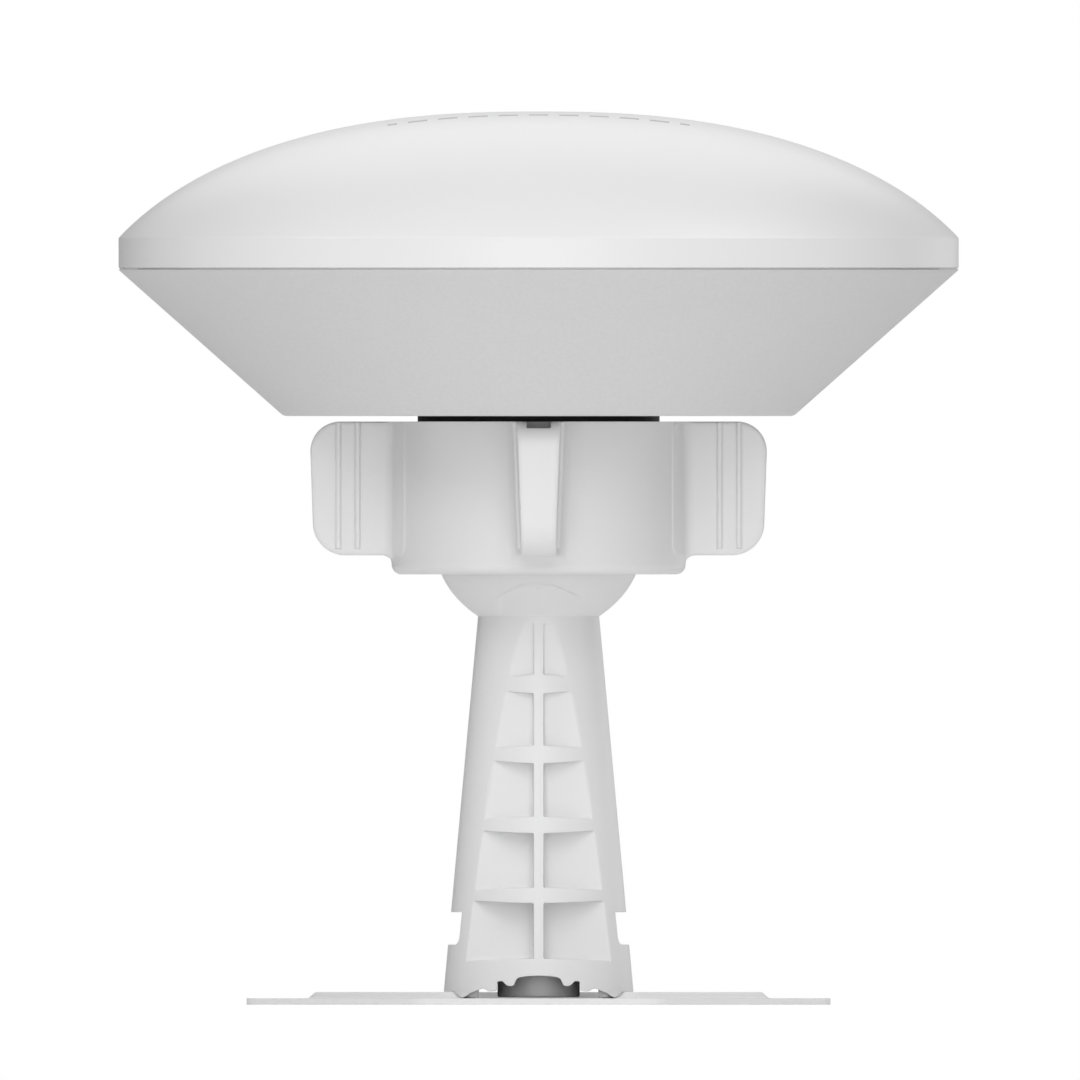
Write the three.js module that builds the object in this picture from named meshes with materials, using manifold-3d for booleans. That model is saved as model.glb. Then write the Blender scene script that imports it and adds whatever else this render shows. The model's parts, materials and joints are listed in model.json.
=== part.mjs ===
// A dome-shaped GNSS receiver on a clamped ball joint, an arm and a pressed base plate.
// Millimetres, +Z up. The origin is the centre of the plate's underside and the front is -Y.

import * as THREE from 'three';
import { mergeVertices } from 'three/addons/utils/BufferGeometryUtils.js';
import Module from 'manifold-3d';

const wasm = await Module();
wasm.setup();

// ---- driving dimensions ----------------------------------------------------------------

const GAP = 0.3; // clearance between pieces that meet

const PLATE_WIDTH = 139; // across the flats of the octagon
const PLATE_SHEET = 1.5;
const PLATE_CORNER = 6;
const EMBOSS_FOOT_WIDTH = 110;
const EMBOSS_TOP_WIDTH = 106;
const EMBOSS_TOP = 3.0;
const CHANNEL_HALF = 18.9;
const CHANNEL_END = 24; // where the channel's closed end lies behind the axis
const PLATE_HOLE_CIRCLE = 62.2;
const PLATE_HOLE_R = 3.3;

const BOSS_R = 9.8;
const BOSS_BORE_R = 6.8; // minor radius of a 5/8-11 thread
const BOSS_TOP = 10.7;

const ARM_FOOT_Z = EMBOSS_TOP + GAP;
const ARM_FOOT_R = 22.56;
const ARM_SLOPE = 0.0913; // radius lost per unit of height
const ARM_WALL = 2.4;
const ARM_FLAT_Y = 13.9; // the pockets' flat floors
const ARM_RIB = 2.4;
const POCKETS = 5;
const POCKET_TOP = 24.1; // top of the lowest pocket, in its middle
const POCKET_TOP_PITCH = 16.65;
const POCKET_LOW = 10.9; // bottom of the lowest pocket, in its middle
const POCKET_LOW_PITCH = 16.93;
const BAND_SWELL = 0.65; // how much each edge of a band bulges towards its middle
const STRAP_LOW = 14.3;
const STRAP_HIGH = 22;
const STRAP_HALF = 10.1;
const FOOT_BAR_TOP = 13.4;
const FOOT_BAR_X = 10.4;
const ARM_SCREW_X = 16.6;
const ARM_SCREW_Y = 8;

const BALL_R = 25.5;
const BALL_Z = 113.1;
const BALL_HOLLOW_R = 22;
const PAD_R = 7.7;
const PAD_FLOOR = 20.5; // height of the pad's seat above the ball's centre

const SEAT_R = BALL_R + GAP; // inside of the cup and the collet
const CUP_R = 28;
const CUP_EDGE = 13; // height of the cup's edge above the ball's centre
const COLLET_LOW = 104.8;
const COLLET_HIGH = 112.5;
const COLLET_R = 28.8;
const COLLET_SPLIT = 2;
const KEY_HALF = 2.5;

const COLLAR_R = 28.8;
const COLLAR_LOW = 114;
const COLLAR_FLANGE_R = 37;
const COLLAR_TOP = 146;

const RING_LOW = 102.4;
const RING_HIGH = 138.8;
const RING_R = 35;
const RING_BORE_R = 29.2;
const RING_FLOOR = 2.1;
const WING_REACH = 54.2;
const WING_LOW = 107.1;
const WINGS = 4;

const HOUSING_Z = 140.1;
const HOUSING_FLAT_R = 60.7;
const HOUSING_FLOOR = 3.5;
const RIM_R = 100;
const RIM_Z = 175.1;
const CONE_TOP = RIM_Z - 0.2; // above it the housing's edge is upright
const SHELL_WALL = 4.5; // across the cone, measured level
const RADOME_Z = RIM_Z + GAP;
const RADOME_RIM = 7.1;
const DOME_DROP = 51; // the dome is a superellipse of this height and half width, cut by the rim
const DOME_SPAN = 110.3;
const DOME_POWER_R = 2.4;
const DOME_POWER_Z = 1.75;
const DOME_WALL = 3.1;

const SCREW_CIRCLE = 54;
const SCREWS = 6;
const SPLIT_Z = 172; // where the housing's tubes meet the radome's posts

const BOARD_Z = 149;
const BOARD_T = 1.6;
const BOARD_R = 47;
const STANDOFF_CIRCLE = 42;
const ANTENNA_BOARD_Z = 175;
const GROUND_Z = ANTENNA_BOARD_Z + BOARD_T + GAP;
const GROUND_T = 1.5;

// The cover's seat is measured down the cone's slope from the hinge.
const PORT_HALF = 22.1; // half width of the seat
const SEAT_NEAR = 3.6;
const SEAT_FAR = 31.2;
const SEAT_DEPTH = 5.7; // measured level
const WELL_HALF = 19;
const WELL_LOW = 152.6;
const WELL_HIGH = 163.3;
const PORT_FRAME = [25, 61, 146.8, 172.4]; // half width, front, low and high of the walls round the port
const PORT_WALL_Y = 63; // where the walls meet the panel
const PANEL_HIGH = 164;
const PANEL_Y = 60.5;
const PANEL_T = 2.2;
const NETWORK_X = -9.5;
const SERVICE_X = 6.5;
const BUTTON_X = 16.3;
const SOCKET_Z = BOARD_Z + BOARD_T + GAP;
const SERVICE_R = 5.2;
const HINGE_Z = 168.5; // the hinge's axis lies on the cone's surface
const HINGE_R = 2.4;
const HINGE_HALF = 12; // half length of the cover's barrel
const EAR = 3.2; // length of each of the housing's ears
const PIN_R = 0.9;

const ROUND = 40; // segments of the large round pieces
const MEDIUM = 28;
const SMALL = 8; // screws, bosses and small holes

// ---- solids ----------------------------------------------------------------------------

function solid(geometry) {
  geometry.deleteAttribute('normal');
  geometry.deleteAttribute('uv');
  const merged = mergeVertices(geometry, 1e-4);
  const position = merged.getAttribute('position');
  const corners = [new THREE.Vector3(), new THREE.Vector3(), new THREE.Vector3()];
  const kept = [];
  let volume = 0;
  for (let i = 0; i < merged.index.count; i += 3) {
    const triangle = [0, 1, 2].map((k) => merged.index.getX(i + k));
    if (new Set(triangle).size < 3) continue;
    triangle.forEach((vertex, k) => corners[k].fromBufferAttribute(position, vertex));
    volume += corners[0].dot(corners[1].cross(corners[2]));
    kept.push(triangle);
  }
  if (volume < 0) kept.forEach((triangle) => triangle.reverse());
  const vertProperties = new Float32Array(position.array);
  const triVerts = new Uint32Array(kept.flat());
  return new wasm.Manifold(new wasm.Mesh({ numProp: 3, vertProperties, triVerts }));
}

function geometryOf(body) {
  const mesh = body.getMesh();
  const geometry = new THREE.BufferGeometry();
  geometry.setAttribute('position', new THREE.BufferAttribute(mesh.vertProperties, 3));
  geometry.setIndex(new THREE.BufferAttribute(mesh.triVerts, 1));
  geometry.computeVertexNormals();
  return geometry;
}

// Profile points are [radius, height].
function turned(profile, segments = ROUND) {
  const points = profile.map(([r, z]) => new THREE.Vector2(r, z));
  return solid(new THREE.LatheGeometry(points, segments).rotateX(Math.PI / 2));
}

function ring(inner, outer, low, high, segments = ROUND) {
  return turned([[inner, low], [outer, low], [outer, high], [inner, high], [inner, low]], segments);
}

function rod(radius, low, high, x = 0, y = 0, segments = SMALL) {
  return turned([[0, low], [radius, low], [radius, high], [0, high]], segments).translate(x, y, 0);
}

function rodAlongY(radius, near, far, x, z, segments = SMALL) {
  const shape = new THREE.CylinderGeometry(radius, radius, far - near, segments);
  return solid(shape).translate(x, (near + far) / 2, z);
}

function rodAlongX(radius, half, y, z, segments = SMALL) {
  const shape = new THREE.CylinderGeometry(radius, radius, 2 * half, segments).rotateZ(Math.PI / 2);
  return solid(shape).translate(0, y, z);
}

function block(x0, x1, y0, y1, z0, z1) {
  const shape = new THREE.BoxGeometry(x1 - x0, y1 - y0, z1 - z0);
  return solid(shape).translate((x0 + x1) / 2, (y0 + y1) / 2, (z0 + z1) / 2);
}

// A shape drawn in X and Z, pushed out along Y from -half to +half.
function pushedAlongY(shape, half, curveSegments = 6) {
  const options = { depth: 2 * half, bevelEnabled: false, curveSegments };
  const geometry = new THREE.ExtrudeGeometry(shape, options);
  return solid(geometry.rotateX(Math.PI / 2)).translate(0, half, 0);
}

function slabOf(shape, low, high, curveSegments = 3) {
  const options = { depth: high - low, bevelEnabled: false, curveSegments };
  return solid(new THREE.ExtrudeGeometry(shape, options)).translate(0, 0, low);
}

function around(count, startDegrees = 0) {
  const step = 360 / count;
  return Array.from({ length: count }, (_, i) => startDegrees + i * step);
}

function polar(radius, degrees) {
  const angle = THREE.MathUtils.degToRad(degrees);
  return [radius * Math.cos(angle), radius * Math.sin(angle)];
}

// ---- placing ---------------------------------------------------------------------------

const receiver = new THREE.Group();
const mount = new THREE.Group();
const ballJoint = new THREE.Group();
const head = new THREE.Group();
receiver.add(mount, ballJoint, head);

function material(color, roughness, metalness = 0) {
  return new THREE.MeshStandardMaterial({ color, roughness, metalness });
}

function place(parent, name, body, look, position = [0, 0, 0], turn = 0) {
  const mesh = new THREE.Mesh(geometryOf(body), look);
  mesh.name = name;
  mesh.position.set(...position);
  mesh.rotation.z = THREE.MathUtils.degToRad(turn);
  parent.add(mesh);
}

// ---- base plate ------------------------------------------------------------------------

// A regular octagon with flats square to X and Y and rounded corners.
function octagon(width, corner) {
  const side = width * Math.tan(Math.PI / 8);
  const cut = corner * Math.tan(Math.PI / 8);
  const shape = new THREE.Shape();
  around(8, -90).forEach((degrees, i) => {
    const [nx, ny] = polar(1, degrees);
    const along = (distance) => [nx * width / 2 - ny * distance, ny * width / 2 + nx * distance];
    if (i === 0) shape.moveTo(...along(cut - side / 2));
    shape.lineTo(...along(side / 2 - cut));
    const [mx, my] = polar(1, degrees + 45);
    const next = [mx * width / 2 + my * (side / 2 - cut), my * width / 2 - mx * (side / 2 - cut)];
    shape.quadraticCurveTo(...along(side / 2), ...next);
  });
  return shape;
}

// The octagon's outline at two heights, joined by sloping sides.
function octagonFrustum(lowWidth, highWidth, low, high) {
  const body = slabOf(octagon(lowWidth, PLATE_CORNER), low, high);
  const shrink = highWidth / lowWidth;
  return body.warp((vertex) => {
    const scale = 1 + (shrink - 1) * (vertex[2] - low) / (high - low);
    vertex[0] *= scale;
    vertex[1] *= scale;
  });
}

// The channel under the arm's foot, open to the front, with sloping sides.
function channel(low, high, grow) {
  const slope = 1.1;
  const half = CHANNEL_HALF + grow;
  const shape = new THREE.Shape();
  shape.moveTo(-half - slope * (low - PLATE_SHEET), low);
  shape.lineTo(half + slope * (low - PLATE_SHEET), low);
  shape.lineTo(half + slope * (high - PLATE_SHEET), high);
  shape.lineTo(-half - slope * (high - PLATE_SHEET), high);
  const length = PLATE_WIDTH;
  return pushedAlongY(shape, length / 2).translate(0, CHANNEL_END + grow - length / 2, 0);
}

const armScrewSpots = [[1, 1], [-1, 1], [-1, -1], [1, -1]]
  .map(([sx, sy]) => [sx * ARM_SCREW_X, sy * ARM_SCREW_Y]);

function basePlate() {
  const flange = slabOf(octagon(PLATE_WIDTH, PLATE_CORNER), 0, PLATE_SHEET);
  const raised = octagonFrustum(EMBOSS_FOOT_WIDTH + 4, EMBOSS_TOP_WIDTH, 0, EMBOSS_TOP);
  const under = octagonFrustum(EMBOSS_FOOT_WIDTH, EMBOSS_TOP_WIDTH - 3, -1, PLATE_SHEET);
  const kept = channel(-1, PLATE_SHEET, PLATE_SHEET);
  let plate = flange.add(raised).subtract(under.subtract(kept));
  plate = plate.subtract(channel(PLATE_SHEET, EMBOSS_TOP + 1, 0));
  plate = plate.subtract(rod(8.3, -1, 5, 0, 0, 20));
  around(4, 45).forEach((degrees) => {
    const [x, y] = polar(PLATE_HOLE_CIRCLE, degrees);
    plate = plate.subtract(rod(PLATE_HOLE_R, -1, 5, x, y, 12));
  });
  armScrewSpots.forEach(([x, y]) => {
    const sink = turned([[0, -0.5], [3.9, -0.5], [1.8, 1.6], [0, 1.6]], SMALL);
    plate = plate.subtract(sink.translate(x, y, 0));
  });
  return plate;
}

function armScrew() {
  return turned([[0, 0.1], [2.9, 0.1], [1.5, 1.5], [1.5, 11], [0, 11]], SMALL);
}

const steel = () => material(0xc9cbcc, 0.45, 0.6);
place(mount, 'base_plate', basePlate(), material(0xdcdddd, 0.5, 0.2));
const boss = ring(BOSS_BORE_R, BOSS_R, 0, BOSS_TOP - PLATE_SHEET - GAP, MEDIUM);
place(mount, 'thread_boss', boss, material(0x8c8c8c, 0.5, 0.6), [0, 0, PLATE_SHEET + GAP]);
armScrewSpots.forEach(([x, y], i) => {
  place(mount, `arm_screw_${i + 1}`, armScrew(), steel(), [x, y, 0]);
});

// ---- arm and ball ----------------------------------------------------------------------

const armRadius = (z) => ARM_FOOT_R - ARM_SLOPE * (z - ARM_FOOT_Z);

// The underside of the foot: a toothed saddle that grips a pipe laid along Y.
function footSaddle() {
  const half = [[5.2, 6.3], [6.3, 4.5], [7.4, 4.5], [8.8, 5.5], [10, 5.4], [10.3, 3.4], [11.5, 3.1], [12.2, 3.2],
    [13.5, 3.8], [17.6, 1.9], [18.3, 1.9], [20.2, ARM_FOOT_Z], [30, ARM_FOOT_Z]];
  const shape = new THREE.Shape();
  shape.moveTo(-30, -1);
  shape.lineTo(30, -1);
  [...half].reverse().forEach(([x, z]) => shape.lineTo(x, z));
  shape.quadraticCurveTo(0, 7.3, -half[0][0], half[0][1]);
  half.slice(1).forEach(([x, z]) => shape.lineTo(-x, z));
  return pushedAlongY(shape, 30);
}

function armHollow() {
  const inner = (z) => armRadius(z) - ARM_WALL;
  const flatHalf = ARM_FLAT_Y - ARM_WALL;
  const cone = turned([[0, -1], [inner(-1), -1], [inner(96), 96], [0, 96]], 16);
  let hollow = cone.intersect(block(-40, 40, -flatHalf, flatHalf, -2, 97));
  const bar = block(FOOT_BAR_X, 40, -40, 40, -2, FOOT_BAR_TOP);
  hollow = hollow.subtract(bar).subtract(block(-40, -FOOT_BAR_X, -40, 40, -2, FOOT_BAR_TOP));
  const low = -(BALL_HOLLOW_R * Math.cos(Math.asin(11 / BALL_HOLLOW_R)));
  const high = 17;
  let ball = turned(sphereCut(BALL_HOLLOW_R, low, high, 4), 16).translate(0, 0, BALL_Z);
  ball = ball.subtract(block(-40, 40, flatHalf, 40, 0, 104)).subtract(block(-40, 40, -40, -flatHalf, 0, 104));
  return hollow.add(ball);
}

// Profile of a sphere between two heights, closed on the axis.
function sphereCut(radius, low, high, steps) {
  const from = Math.asin(low / radius);
  const to = Math.asin(high / radius);
  const arc = Array.from({ length: steps + 1 }, (_, i) => {
    const angle = from + (to - from) * i / steps;
    return [radius * Math.cos(angle), radius * Math.sin(angle)];
  });
  const start = low > -radius ? [[0, low]] : [];
  const end = high < radius ? [[0, high]] : [];
  return [...start, ...arc, ...end];
}

// The flat-floored pockets on one side. The bands between them are thickest in the middle.
function armPockets() {
  const reach = 26;
  let cut = null;
  for (let i = 0; i < POCKETS; i += 1) {
    const top = POCKET_TOP + i * POCKET_TOP_PITCH;
    const low = POCKET_LOW + i * POCKET_LOW_PITCH;
    const half = armRadius((top + low) / 2) * 0.8;
    const shape = new THREE.Shape();
    shape.moveTo(-reach, low - BAND_SWELL);
    shape.lineTo(-half, low - BAND_SWELL);
    shape.quadraticCurveTo(0, low + BAND_SWELL, half, low - BAND_SWELL);
    shape.lineTo(reach, low - BAND_SWELL);
    shape.lineTo(reach, top + BAND_SWELL);
    shape.lineTo(half, top + BAND_SWELL);
    shape.quadraticCurveTo(0, top - BAND_SWELL, -half, top + BAND_SWELL);
    shape.lineTo(-reach, top + BAND_SWELL);
    const pocket = pushedAlongY(shape, 8, 4).translate(0, ARM_FLAT_Y + 8, 0);
    cut = cut ? cut.add(pocket) : pocket;
  }
  return cut.subtract(block(-ARM_RIB / 2, ARM_RIB / 2, 0, 40, 0, 100));
}

// The shallow relief low on the ball's front: a sloping facet under an overhang with slanting ends.
function ballRelief() {
  const corners = [
    [3.4, 20.4, 100], [3.4, 30, 104.8], [10.6, 16.7, 96.5], [10.6, 30, 103.2], [10.6, 12.3, 92.4], [10.6, 30, 92.4],
  ];
  return wasm.Manifold.hull(corners.flatMap(([x, y, z]) => [[x, y, z], [-x, y, z]]));
}

// Slots through both sides of the foot, with rounded lower corners.
function strapSlots() {
  const corner = 1.8;
  const shape = new THREE.Shape();
  shape.moveTo(-STRAP_HALF + corner, STRAP_LOW);
  shape.lineTo(STRAP_HALF - corner, STRAP_LOW);
  shape.quadraticCurveTo(STRAP_HALF, STRAP_LOW, STRAP_HALF, STRAP_LOW + corner);
  shape.lineTo(STRAP_HALF, STRAP_HIGH);
  shape.lineTo(-STRAP_HALF, STRAP_HIGH);
  shape.lineTo(-STRAP_HALF, STRAP_LOW + corner);
  shape.quadraticCurveTo(-STRAP_HALF, STRAP_LOW, -STRAP_HALF + corner, STRAP_LOW);
  return pushedAlongY(shape, 30, 3).rotate(0, 0, 90);
}

function mountArm() {
  const neckZ = 92.2;
  const neck = neckZ + 1;
  const cone = turned([[0, 0], [armRadius(0), 0], [armRadius(neck), neck], [0, neck]], MEDIUM);
  const ball = turned(sphereCut(BALL_R, -BALL_R + 3, BALL_R, 12), MEDIUM).translate(0, 0, BALL_Z);
  let arm = cone.add(ball).subtract(armHollow());
  arm = arm.subtract(footSaddle()).subtract(strapSlots());
  const front = armPockets().add(ballRelief());
  arm = arm.subtract(front).subtract(front.rotate(0, 0, 180));
  arm = arm.subtract(rod(PAD_R + GAP, BALL_Z + PAD_FLOOR, BALL_Z + 30, 0, 0, 20));
  armScrewSpots.forEach(([x, y]) => {
    arm = arm.subtract(rod(1.8, -1, 11.8, x, y));
  });
  return arm;
}

place(mount, 'mount_arm', mountArm(), material(0xdedede, 0.5));

// ---- ball joint ------------------------------------------------------------------------

function frictionPad() {
  const dome = turned(sphereCut(BALL_R, PAD_FLOOR + GAP, BALL_R, 4), 20);
  return dome.intersect(rod(PAD_R, 0, 40, 0, 0, 20));
}

// Seat of the ball's crown: a spherical shell down to the cup's edge.
function ballCup() {
  const steps = 5;
  const arc = (radius, reverse) => {
    const from = Math.asin(CUP_EDGE / radius);
    const points = Array.from({ length: steps + 1 }, (_, i) => {
      const angle = from + (Math.PI / 2 - from) * i / steps;
      return [radius * Math.cos(angle), radius * Math.sin(angle)];
    });
    points[steps] = [0, radius];
    return reverse ? points.reverse() : points;
  };
  return turned([...arc(SEAT_R, true), ...arc(CUP_R, false)], MEDIUM);
}

// Split ring with a spherical seat and two keys that slide in the collar's notches.
function clampCollet() {
  const low = COLLET_LOW - BALL_Z;
  const high = COLLET_HIGH - BALL_Z;
  let collet = ring(20, COLLET_R, low, high, MEDIUM);
  const key = block(26.6, COLLET_R, -KEY_HALF, KEY_HALF, high - 1, high + 4.5);
  const round = rod(COLLET_R, low, high + 5, 0, 0, MEDIUM);
  collet = collet.add(key).add(key.rotate(0, 0, 180)).intersect(round);
  collet = collet.subtract(turned(sphereCut(SEAT_R, -SEAT_R, SEAT_R, 24), MEDIUM));
  return collet.subtract(block(-COLLET_SPLIT / 2, COLLET_SPLIT / 2, 10, 40, -20, 20));
}

function lockRing() {
  const mouth = (z) => Math.sqrt((SEAT_R + 0.1) ** 2 - (BALL_Z - z) ** 2);
  const body = turned([
    [mouth(RING_LOW), RING_LOW], [RING_R - 2.4, RING_LOW], [RING_R - 0.7, RING_LOW + 0.7], [RING_R, RING_LOW + 2.4],
    [RING_R, RING_HIGH], [RING_BORE_R, RING_HIGH], [RING_BORE_R, RING_LOW + RING_FLOOR],
    [mouth(RING_LOW + RING_FLOOR), RING_LOW + RING_FLOOR], [mouth(RING_LOW), RING_LOW],
  ]);
  return around(WINGS).reduce((whole, degrees) => whole.add(wing().rotate(0, 0, degrees)), body)
    .subtract(around(WINGS).reduce((cuts, degrees) => {
      const core = block(37.5, 50.7, -2.7, 2.7, 112, 150).rotate(0, 0, degrees);
      return cuts ? cuts.add(core) : core;
    }, null));
}

// One wing, reaching out along +X: it thins towards its tip and its foot.
function wing() {
  const shape = new THREE.Shape();
  shape.moveTo(31, WING_LOW);
  shape.lineTo(WING_REACH - 7.5, WING_LOW);
  shape.quadraticCurveTo(WING_REACH - 0.5, WING_LOW, WING_REACH - 0.5, WING_LOW + 7);
  shape.lineTo(WING_REACH, RING_HIGH - 7.5);
  shape.quadraticCurveTo(WING_REACH, RING_HIGH, WING_REACH - 7.5, RING_HIGH);
  shape.lineTo(31, RING_HIGH);
  const thickness = (x, z) => 10.5 + (54 - x) * 0.0737 - (RING_HIGH - z) * 0.0755;
  return pushedAlongY(shape, 1, 4).warp((vertex) => {
    vertex[1] *= thickness(vertex[0], vertex[2]) / 2;
  });
}

// Threaded collar: a tube round the ball, a socket for the cup and a flange inside the housing.
function ballCollar() {
  const socketR = CUP_R + GAP;
  const edge = 12.6;
  const steps = 5;
  const from = Math.asin(edge / socketR);
  const socket = Array.from({ length: steps + 1 }, (_, i) => {
    const angle = from + (Math.PI / 2 - from) * i / steps;
    return [socketR * Math.cos(angle), BALL_Z + socketR * Math.sin(angle)];
  });
  socket[steps] = [0, BALL_Z + socketR];
  let collar = turned([
    [26.2, BALL_Z + edge], [26.2, COLLAR_LOW], [COLLAR_R, COLLAR_LOW],
    [COLLAR_R, HOUSING_Z + HOUSING_FLOOR + GAP], [COLLAR_FLANGE_R, HOUSING_Z + HOUSING_FLOOR + GAP],
    [COLLAR_FLANGE_R, COLLAR_TOP], [0, COLLAR_TOP], ...socket.reverse(), [26.2, BALL_Z + edge],
  ], MEDIUM);
  const notch = block(20, 40, -KEY_HALF - GAP, KEY_HALF + GAP, COLLAR_LOW - 1, COLLAR_LOW + 4.5);
  collar = collar.subtract(notch).subtract(notch.rotate(0, 0, 180));
  collarScrewSpots.forEach(([x, y]) => {
    collar = collar.subtract(rod(1.8, 130, 150, x, y));
  });
  return collar;
}

const collarScrewSpots = around(4, 45).map((degrees) => polar(33, degrees));

function smallScrew(headR, headHeight, shankR, length) {
  return turned([[0, -length], [shankR, -length], [shankR, 0], [headR, 0], [headR, headHeight], [0, headHeight]], SMALL);
}

const centre = [0, 0, BALL_Z];
place(ballJoint, 'friction_pad', frictionPad(), material(0x2b2b2b, 0.8), centre);
place(ballJoint, 'ball_cup', ballCup(), material(0x3a3a3a, 0.7), centre);
place(ballJoint, 'clamp_collet', clampCollet(), material(0x303030, 0.7), centre);
place(ballJoint, 'lock_ring', lockRing(), material(0xdedede, 0.5));
place(head, 'ball_collar', ballCollar(), material(0x1c1c1c, 0.6));
collarScrewSpots.forEach(([x, y], i) => {
  place(head, `collar_screw_${i + 1}`, smallScrew(2.7, 1.5, 1.5, 4.9), steel(), [x, y, COLLAR_TOP + GAP]);
});

// ---- lower housing ---------------------------------------------------------------------

const coneRise = (RIM_R - HOUSING_FLAT_R) / (CONE_TOP - HOUSING_Z);
const coneRadius = (z) => HOUSING_FLAT_R + coneRise * (z - HOUSING_Z);
const coneHeight = (r) => HOUSING_Z + (r - HOUSING_FLAT_R) / coneRise;

const screwSpots = around(SCREWS).map((degrees) => polar(SCREW_CIRCLE, degrees));
const standoffSpots = around(4, 45).map((degrees) => polar(STANDOFF_CIRCLE, degrees));
const lightSpots = [-6, 0, 6].map((x) => [x, -43]);
const ventSpot = [-38, -22];

function coneSolid() {
  return turned([[0, HOUSING_Z], [HOUSING_FLAT_R, HOUSING_Z], [RIM_R, CONE_TOP], [RIM_R, RIM_Z], [0, RIM_Z]]);
}

// What is left of the cone when its surface is moved in, level, by the given distance.
function coneMovedIn(distance) {
  const low = HOUSING_Z - 5;
  const high = RIM_Z + 5;
  return turned([[0, low], [coneRadius(low) - distance, low], [coneRadius(high) - distance, high], [0, high]]);
}

function housingShell() {
  const floor = HOUSING_Z + HOUSING_FLOOR;
  const thickRimR = 90.5;
  return turned([
    [COLLAR_R + GAP, HOUSING_Z], [HOUSING_FLAT_R, HOUSING_Z], [RIM_R, CONE_TOP], [RIM_R, RIM_Z],
    [95.8, RIM_Z], [95.8, RIM_Z - 1.8], [93.2, RIM_Z - 1.8], [93.2, RIM_Z], [thickRimR, RIM_Z],
    [thickRimR, coneHeight(thickRimR + SHELL_WALL)], [coneRadius(floor) - SHELL_WALL, floor],
    [COLLAR_R + GAP, floor], [COLLAR_R + GAP, HOUSING_Z],
  ]);
}

const slopeDegrees = THREE.MathUtils.radToDeg(Math.atan(coneRise));
const hingeY = coneRadius(HINGE_Z);

// A block that lies in the cone's slope: from near to far down it, and up to depth under its surface.
function slopeBlock(half, near, far, depth = 20) {
  const upright = block(-half, half, -depth, 20, -far, -near);
  return upright.rotate(-slopeDegrees, 0, 0).translate(0, hingeY, HINGE_Z);
}

function hingeRod(radius, from, to, segments) {
  return rodAlongX(radius, (to - from) / 2, hingeY, HINGE_Z, segments).translate((from + to) / 2, 0, 0);
}

// The port's hollow: a seat for the cover, a deeper well down to the panel and the hinge's groove.
function portPocket() {
  const seat = slopeBlock(PORT_HALF, SEAT_NEAR, SEAT_FAR).subtract(coneMovedIn(SEAT_DEPTH));
  const well = block(-WELL_HALF, WELL_HALF, PORT_WALL_Y - 5, 120, WELL_LOW, WELL_HIGH);
  const panelSeat = block(-20.8, 20.8, 50, PORT_WALL_Y, PORT_FRAME[2] - 1, PANEL_HIGH + GAP);
  const groove = hingeRod(HINGE_R + 0.4, -HINGE_HALF - GAP, HINGE_HALF + GAP, 16);
  const webSlot = slopeBlock(HINGE_HALF + GAP, 0, SEAT_NEAR + 1).subtract(coneMovedIn(4.2));
  return seat.add(well).add(panelSeat).add(groove).add(webSlot);
}

function hingeEar(side) {
  const near = side * (HINGE_HALF + GAP);
  const far = near + side * EAR;
  return hingeRod(HINGE_R, Math.min(near, far), Math.max(near, far), 16);
}

function lowerHousing() {
  const floor = HOUSING_Z + HOUSING_FLOOR;
  let housing = housingShell();
  screwSpots.forEach(([x, y]) => {
    housing = housing.add(rod(5.4, floor - 1, SPLIT_Z, x, y));
  });
  standoffSpots.forEach(([x, y]) => {
    housing = housing.add(rod(3.4, floor - 1, BOARD_Z - GAP, x, y));
  });
  const [frameHalf, frameFront, frameLow, frameHigh] = PORT_FRAME;
  const portFrame = block(-frameHalf, frameHalf, frameFront, 110, frameLow, frameHigh);
  housing = housing.add(portFrame.intersect(coneSolid())).subtract(portPocket());
  housing = housing.add(hingeEar(-1)).add(hingeEar(1)).subtract(hingeRod(PIN_R + GAP, -20, 20));
  screwSpots.forEach(([x, y]) => {
    housing = housing.subtract(rod(2.3, 130, 180, x, y)).subtract(rod(4, 130, 145, x, y));
  });
  standoffSpots.forEach(([x, y]) => {
    housing = housing.subtract(rod(1.8, floor + 0.5, 155, x, y));
  });
  collarScrewSpots.forEach(([x, y]) => {
    housing = housing.subtract(rod(1.8, HOUSING_Z + 0.9, 150, x, y));
  });
  lightSpots.forEach(([x, y]) => {
    housing = housing.subtract(rod(1.8, 130, 150, x, y));
  });
  return housing.subtract(rod(5.3, 130, 150, ...ventSpot, 12));
}

place(head, 'lower_housing', lowerHousing(), material(0xcfcfcf, 0.65));
const gasket = ring(93.5, 95.5, 0, 1.5);
place(head, 'housing_gasket', gasket, material(0x1a1a1a, 0.9), [0, 0, RIM_Z - 1.8 + GAP]);
screwSpots.forEach(([x, y], i) => {
  const screw = turned([[0, 0], [3.6, 0], [3.6, 3.2], [2, 3.2], [2, 48], [0, 48]], SMALL);
  place(head, `housing_screw_${i + 1}`, screw, steel(), [x, y, HOUSING_Z + 1.2]);
});
lightSpots.forEach(([x, y], i) => {
  const pipe = rod(1.5, 0, BOARD_Z - GAP - HOUSING_Z - GAP);
  place(head, `light_pipe_${i + 1}`, pipe, material(0xe8f2ea, 0.2), [x, y, HOUSING_Z + GAP]);
});
place(head, 'pressure_vent', rod(5, 0, 2.9, 0, 0, 12), material(0x3a3a3a, 0.7), [...ventSpot, HOUSING_Z + GAP]);

// ---- radome ----------------------------------------------------------------------------

function domeDrop(r) {
  return DOME_DROP * (1 - (1 - (r / DOME_SPAN) ** DOME_POWER_R) ** (1 / DOME_POWER_Z));
}

// Height of the dome's outside above the radome's lower edge.
function domeHeight(r) {
  return RADOME_RIM + domeDrop(RIM_R) - domeDrop(r);
}

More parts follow.
